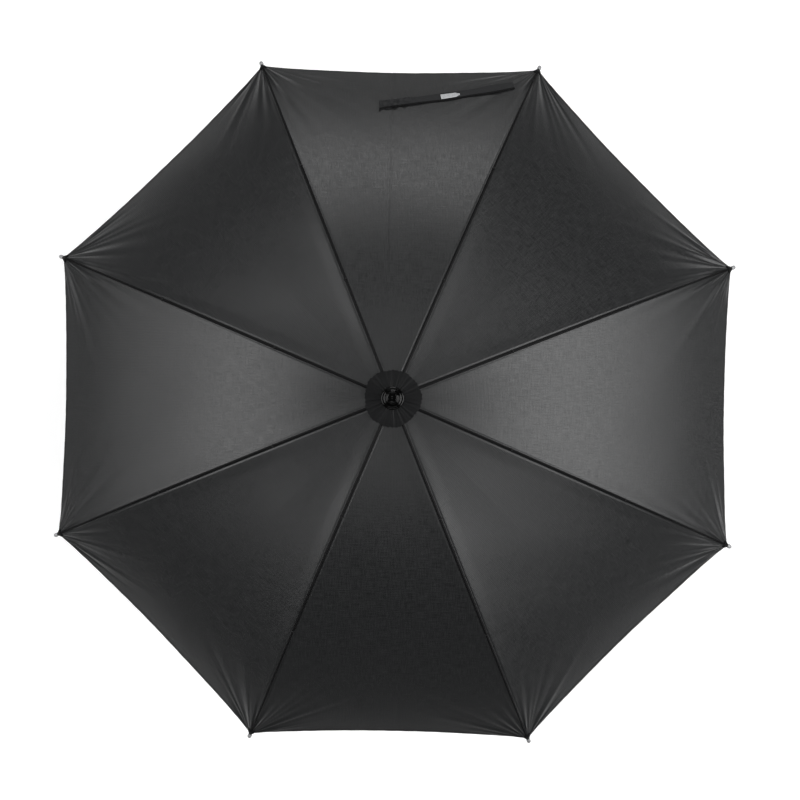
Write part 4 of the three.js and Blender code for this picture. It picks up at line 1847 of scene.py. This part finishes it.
    def catch(self, node: str) -> Piece:
        """A tongue bent from strip steel, flat where it stops the runner and ramped on the other side.

        Args:
            node: the catch's CAD node.

        Returns:
            The tongue.
        """
        low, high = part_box(node)
        middle = (low.x + high.x) / 2
        tongue = rounded_block(f"{node}_tongue", low, high)
        edit_all(tongue)
        bpy.ops.mesh.select_all(action="DESELECT")
        bpy.ops.object.mode_set(mode="OBJECT")
        ramped_z = low.z if node == "top_catch" else high.z
        for vertex in tongue.data.vertices:
            vertex.select = vertex.co.x > middle and abs(vertex.co.z - ramped_z) < 0.1 * MM
        bpy.ops.object.mode_set(mode="EDIT")
        bpy.ops.transform.translate(value=(-self.catch_ramp, 0, 0))
        bpy.ops.object.mode_set(mode="OBJECT")
        modify(tongue, "BEVEL", width=0.45 * MM, segments=3, limit_method="NONE")
        return smooth(tongue)


@dataclass
class Ferrule:
    """The glossy cap over the crown and its spike."""

    wardrobe: Wardrobe
    flange_radius: float = 19 * MM
    spike_radius: float = 9.8 * MM
    bore_radius: float = SHAFT_BORE
    bore_depth: float = 27.8 * MM

    def build(self) -> None:
        """Turn it and set it on the shaft."""
        low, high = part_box("ferrule")
        base, top, bore = low.z, high.z, self.bore_radius
        flange, spike = (self.flange_radius, base), (self.spike_radius, top)
        profile = [
            (0.1 * MM, base + self.bore_depth),
            (bore, base + self.bore_depth),
            *outline((bore, base), (0, 0.3), (0.3, 0)),
            *outline(flange, (-0.6, 0), (-0.15, 0.2), (0, 0.8), (0, 2.2), (-0.25, 3.1), (-0.8, 3.9)),
            *outline(flange, (-1.7, 4.4), (-2.8, 4.5), (-3.5, 4.2), (-4.6, 4.5)),
            *outline((0, base), (13.2, 5.3), (12.3, 6.8), (11.8, 10), (11.5, 14), (10.9, 20)),
            *outline((0, base), (10, 29), (9.4, 36), (9, 48)),
            *outline((0, top), (8.8, -17.5), (8.9, -16.5), (9.5, -12)),
            *outline(spike, (0, -10.6), (0, -1.4), (-0.15, -0.7), (-0.5, -0.2), (-1.1, 0)),
            *outline((0, top), (7.8, 0), (7.2, -0.25), (6.8, -0.9), (6.5, -1.45), (5.8, -1.6)),
            *outline((0, top), (2.2, -1.6), (1.5, -1.3), (0.1, -1.2)),
        ]
        ferrule = smooth(turned("ferrule_cap", profile, 128), 40)
        fit(ferrule, self.wardrobe.polished, "root", "ferrule")


@dataclass
class Handle:
    """The straight foam grip and its end cap."""

    wardrobe: Wardrobe
    bore: float = SHAFT_BORE

    def build(self) -> None:
        """Make and fit both pieces."""
        grip = smooth(self.grip(), 40)
        fit(grip, self.wardrobe.foam, "root", "handle_grip")
        cap = smooth(self.cap(), 40)
        fit(cap, self.wardrobe.nylon, "root", "handle_end_cap")

    def grip(self) -> Piece:
        """The foam grip, fullest under the palm.

        Returns:
            The grip.
        """
        low, high = (corner.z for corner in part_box("handle_grip"))
        profile = [
            (self.bore, low),
            *outline((0, low), (15, 0), (15.7, 0.3), (16.4, 2), (17, 6), (17.4, 18), (17.5, 30)),
            *outline((0, low), (17.2, 48), (16.5, 66), (16.3, 84), (16.3, 110), (16, 130)),
            *outline((0, high), (15.3, -28), (14, -13), (12.6, -5), (11.4, -1.2), (10.3, 0)),
            (self.bore, high),
        ]
        return turned("foam_grip", profile, ROUND, ring=True)

    def cap(self) -> Piece:
        """The end cap, with a dished end and a plug that goes up into the grip.

        Returns:
            The cap.
        """
        end, low = (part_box(node)[0].z for node in ("handle_end_cap", "handle_grip"))
        profile = [
            *outline((0, end), (0.1, 0.6), (8, 0.6), (8.6, 0), (13, 0), (14.3, 0.3)),
            *outline((0, end), (15.2, 1.2), (15.5, 2.3)),
            *outline((0, low), (15.5, -0.6), (15.3, -0.4), (7, -0.4), (7, 9.6), (0.1, 9.6)),
        ]
        return turned("end_cap", profile, ROUND)


@dataclass(frozen=True)
class Lamp:
    """A rectangular soft lamp that aims at a point."""

    name: str
    place: tuple[float, float, float]
    aim: tuple[float, float, float]
    size: tuple[float, float]
    power: float

    def hang(self) -> None:
        """Add it to the scene."""
        light = bpy.data.lights.new(self.name, "AREA")
        light.shape = "RECTANGLE"
        light.size, light.size_y = self.size
        light.energy = self.power
        lamp = bpy.data.objects.new(self.name, light)
        bpy.context.scene.collection.objects.link(lamp)
        lamp.location = self.place
        way = Vector(self.aim) - Vector(self.place)
        lamp.rotation_mode = "QUATERNION"
        lamp.rotation_quaternion = way.to_track_quat("-Z", "Y")


@dataclass
class Studio:
    """A white floor, soft lamps round the canopy, and the camera over the ferrule."""

    rim_z: float
    floor_z: float
    camera_place: tuple[float, float, float] = (0.0463, -0.0635, 5.01)
    aim: tuple[float, float] = (0.0096, 0.0022)
    roll: float = math.radians(0.957)
    lens: float = 114.1
    sensor: float = 36.0
    floor_size: float = 2.6
    floor_glow: float = 0.33
    fill: float = 0.05
    lamps: tuple[Lamp, ...] = (
        Lamp("left_softbox", (-3.3, 0.1, 3.2), (0, 0, 0.7), (4.4, 2.2), 138),
        Lamp("right_softbox", (3.3, -0.3, 3.1), (0, 0, 0.7), (4.2, 3.2), 202),
        Lamp("left_low_softbox", (-3.0, 0.0, 0.95), (0, 0, 0.75), (1.9, 0.8), 9),
        Lamp("right_low_softbox", (3.0, -0.1, 0.95), (0, 0, 0.75), (1.9, 0.8), 9),
        Lamp("back_softbox", (0.1, 4.0, 1.6), (0, 0, 0.6), (2.0, 1.4), 42),
        Lamp("upper_softbox", (0.0, 2.6, 5.6), (0, 0, 0.6), (3.0, 1.2), 24),
        Lamp("lower_softbox", (0.0, -2.6, 5.6), (0, 0, 0.6), (3.0, 1.2), 24),
    )

    def build(self) -> None:
        """Set the camera first, then the floor and the lamps."""
        self.camera()
        self.floor()
        for lamp in self.lamps:
            lamp.hang()
        self.surround()

    def camera(self) -> None:
        """The camera, a little off the shaft's axis."""
        data = bpy.data.cameras.new("camera")
        data.sensor_width = self.sensor
        data.lens = self.lens
        data.clip_end = 100
        camera = bpy.data.objects.new("camera", data)
        bpy.context.scene.collection.objects.link(camera)
        place = Vector(self.camera_place)
        way = Vector((*self.aim, self.rim_z)) - place
        back = -way.normalized()
        right = Vector((0, 1, 0)).cross(back).normalized()
        up = back.cross(right)
        turn = Matrix((right, up, back)).transposed().to_4x4()
        camera.matrix_world = Matrix.Translation(place) @ turn @ Matrix.Rotation(self.roll, 4, "Z")
        bpy.context.scene.camera = camera

    def floor(self) -> None:
        """A plain white floor under the handle, faintly mottled."""
        deselect()
        bpy.ops.mesh.primitive_grid_add(
            x_subdivisions=8, y_subdivisions=8, size=self.floor_size, location=(0, 0, self.floor_z)
        )
        floor = settle(bpy.context.object, "floor")
        material, tree = new_material("white_paper")
        place = add_node(tree, "TexCoord").outputs["Object"]
        noise = add_node(tree, "TexNoise", None, {"Scale": 3.0}, {"Vector": place}).outputs["Fac"]
        close_material(
            tree,
            {"Roughness": 0.9, "Emission Color": (1, 1, 1, 1), "Emission Strength": self.floor_glow},
            {"Base Color": two_tone(tree, "#e9e9e9", "#f0f0f0", noise)},
        )
        dress(floor, material)

    def surround(self) -> None:
        """A white surround that only fills the shadows a little."""
        world = bpy.data.worlds.new("surround")
        world.use_nodes = True
        tree = world.node_tree
        background = tree.nodes["Background"]
        seen = add_node(tree, "LightPath").outputs["Is Camera Ray"]
        strength = add_node(tree, "MapRange", None, {"To Min": self.fill, "To Max": 1.0}, {"Value": seen})
        background.inputs["Color"].default_value = (1, 1, 1, 1)
        tree.links.new(strength.outputs[0], background.inputs["Strength"])
        bpy.context.scene.world = world
        bpy.context.scene.view_settings.view_transform = "Standard"


def main() -> None:
    """Build the umbrella in order."""
    logging.basicConfig(level=logging.INFO, format="%(message)s")
    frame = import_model()
    line = RibLine.from_frame(frame)
    _, tip_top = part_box("rib_tip_1")
    floor_low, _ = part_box("handle_end_cap")
    Studio(rim_z=tip_top.z, floor_z=floor_low.z).build()
    wardrobe = Wardrobe()
    ribs = Ribs(line, wardrobe)
    pin_x, pin_z = map(float, line.point(ribs.joint_station, -ribs.joint_drop))
    # A strut is as long as the rib's inner part, so its pin is half way from crown to runner.
    runner_z = 2 * pin_z - line.crown_z
    Canopy(line, wardrobe).build()
    Rosette(line, wardrobe).build()
    TieStrap(line, wardrobe).build()
    ribs.build()
    Stretchers(line, wardrobe, (pin_x, pin_z), runner_z).build()
    Column(line, wardrobe, runner_z).build()
    Ferrule(wardrobe).build()
    Handle(wardrobe).build()


if __name__ == "__main__":
    main()
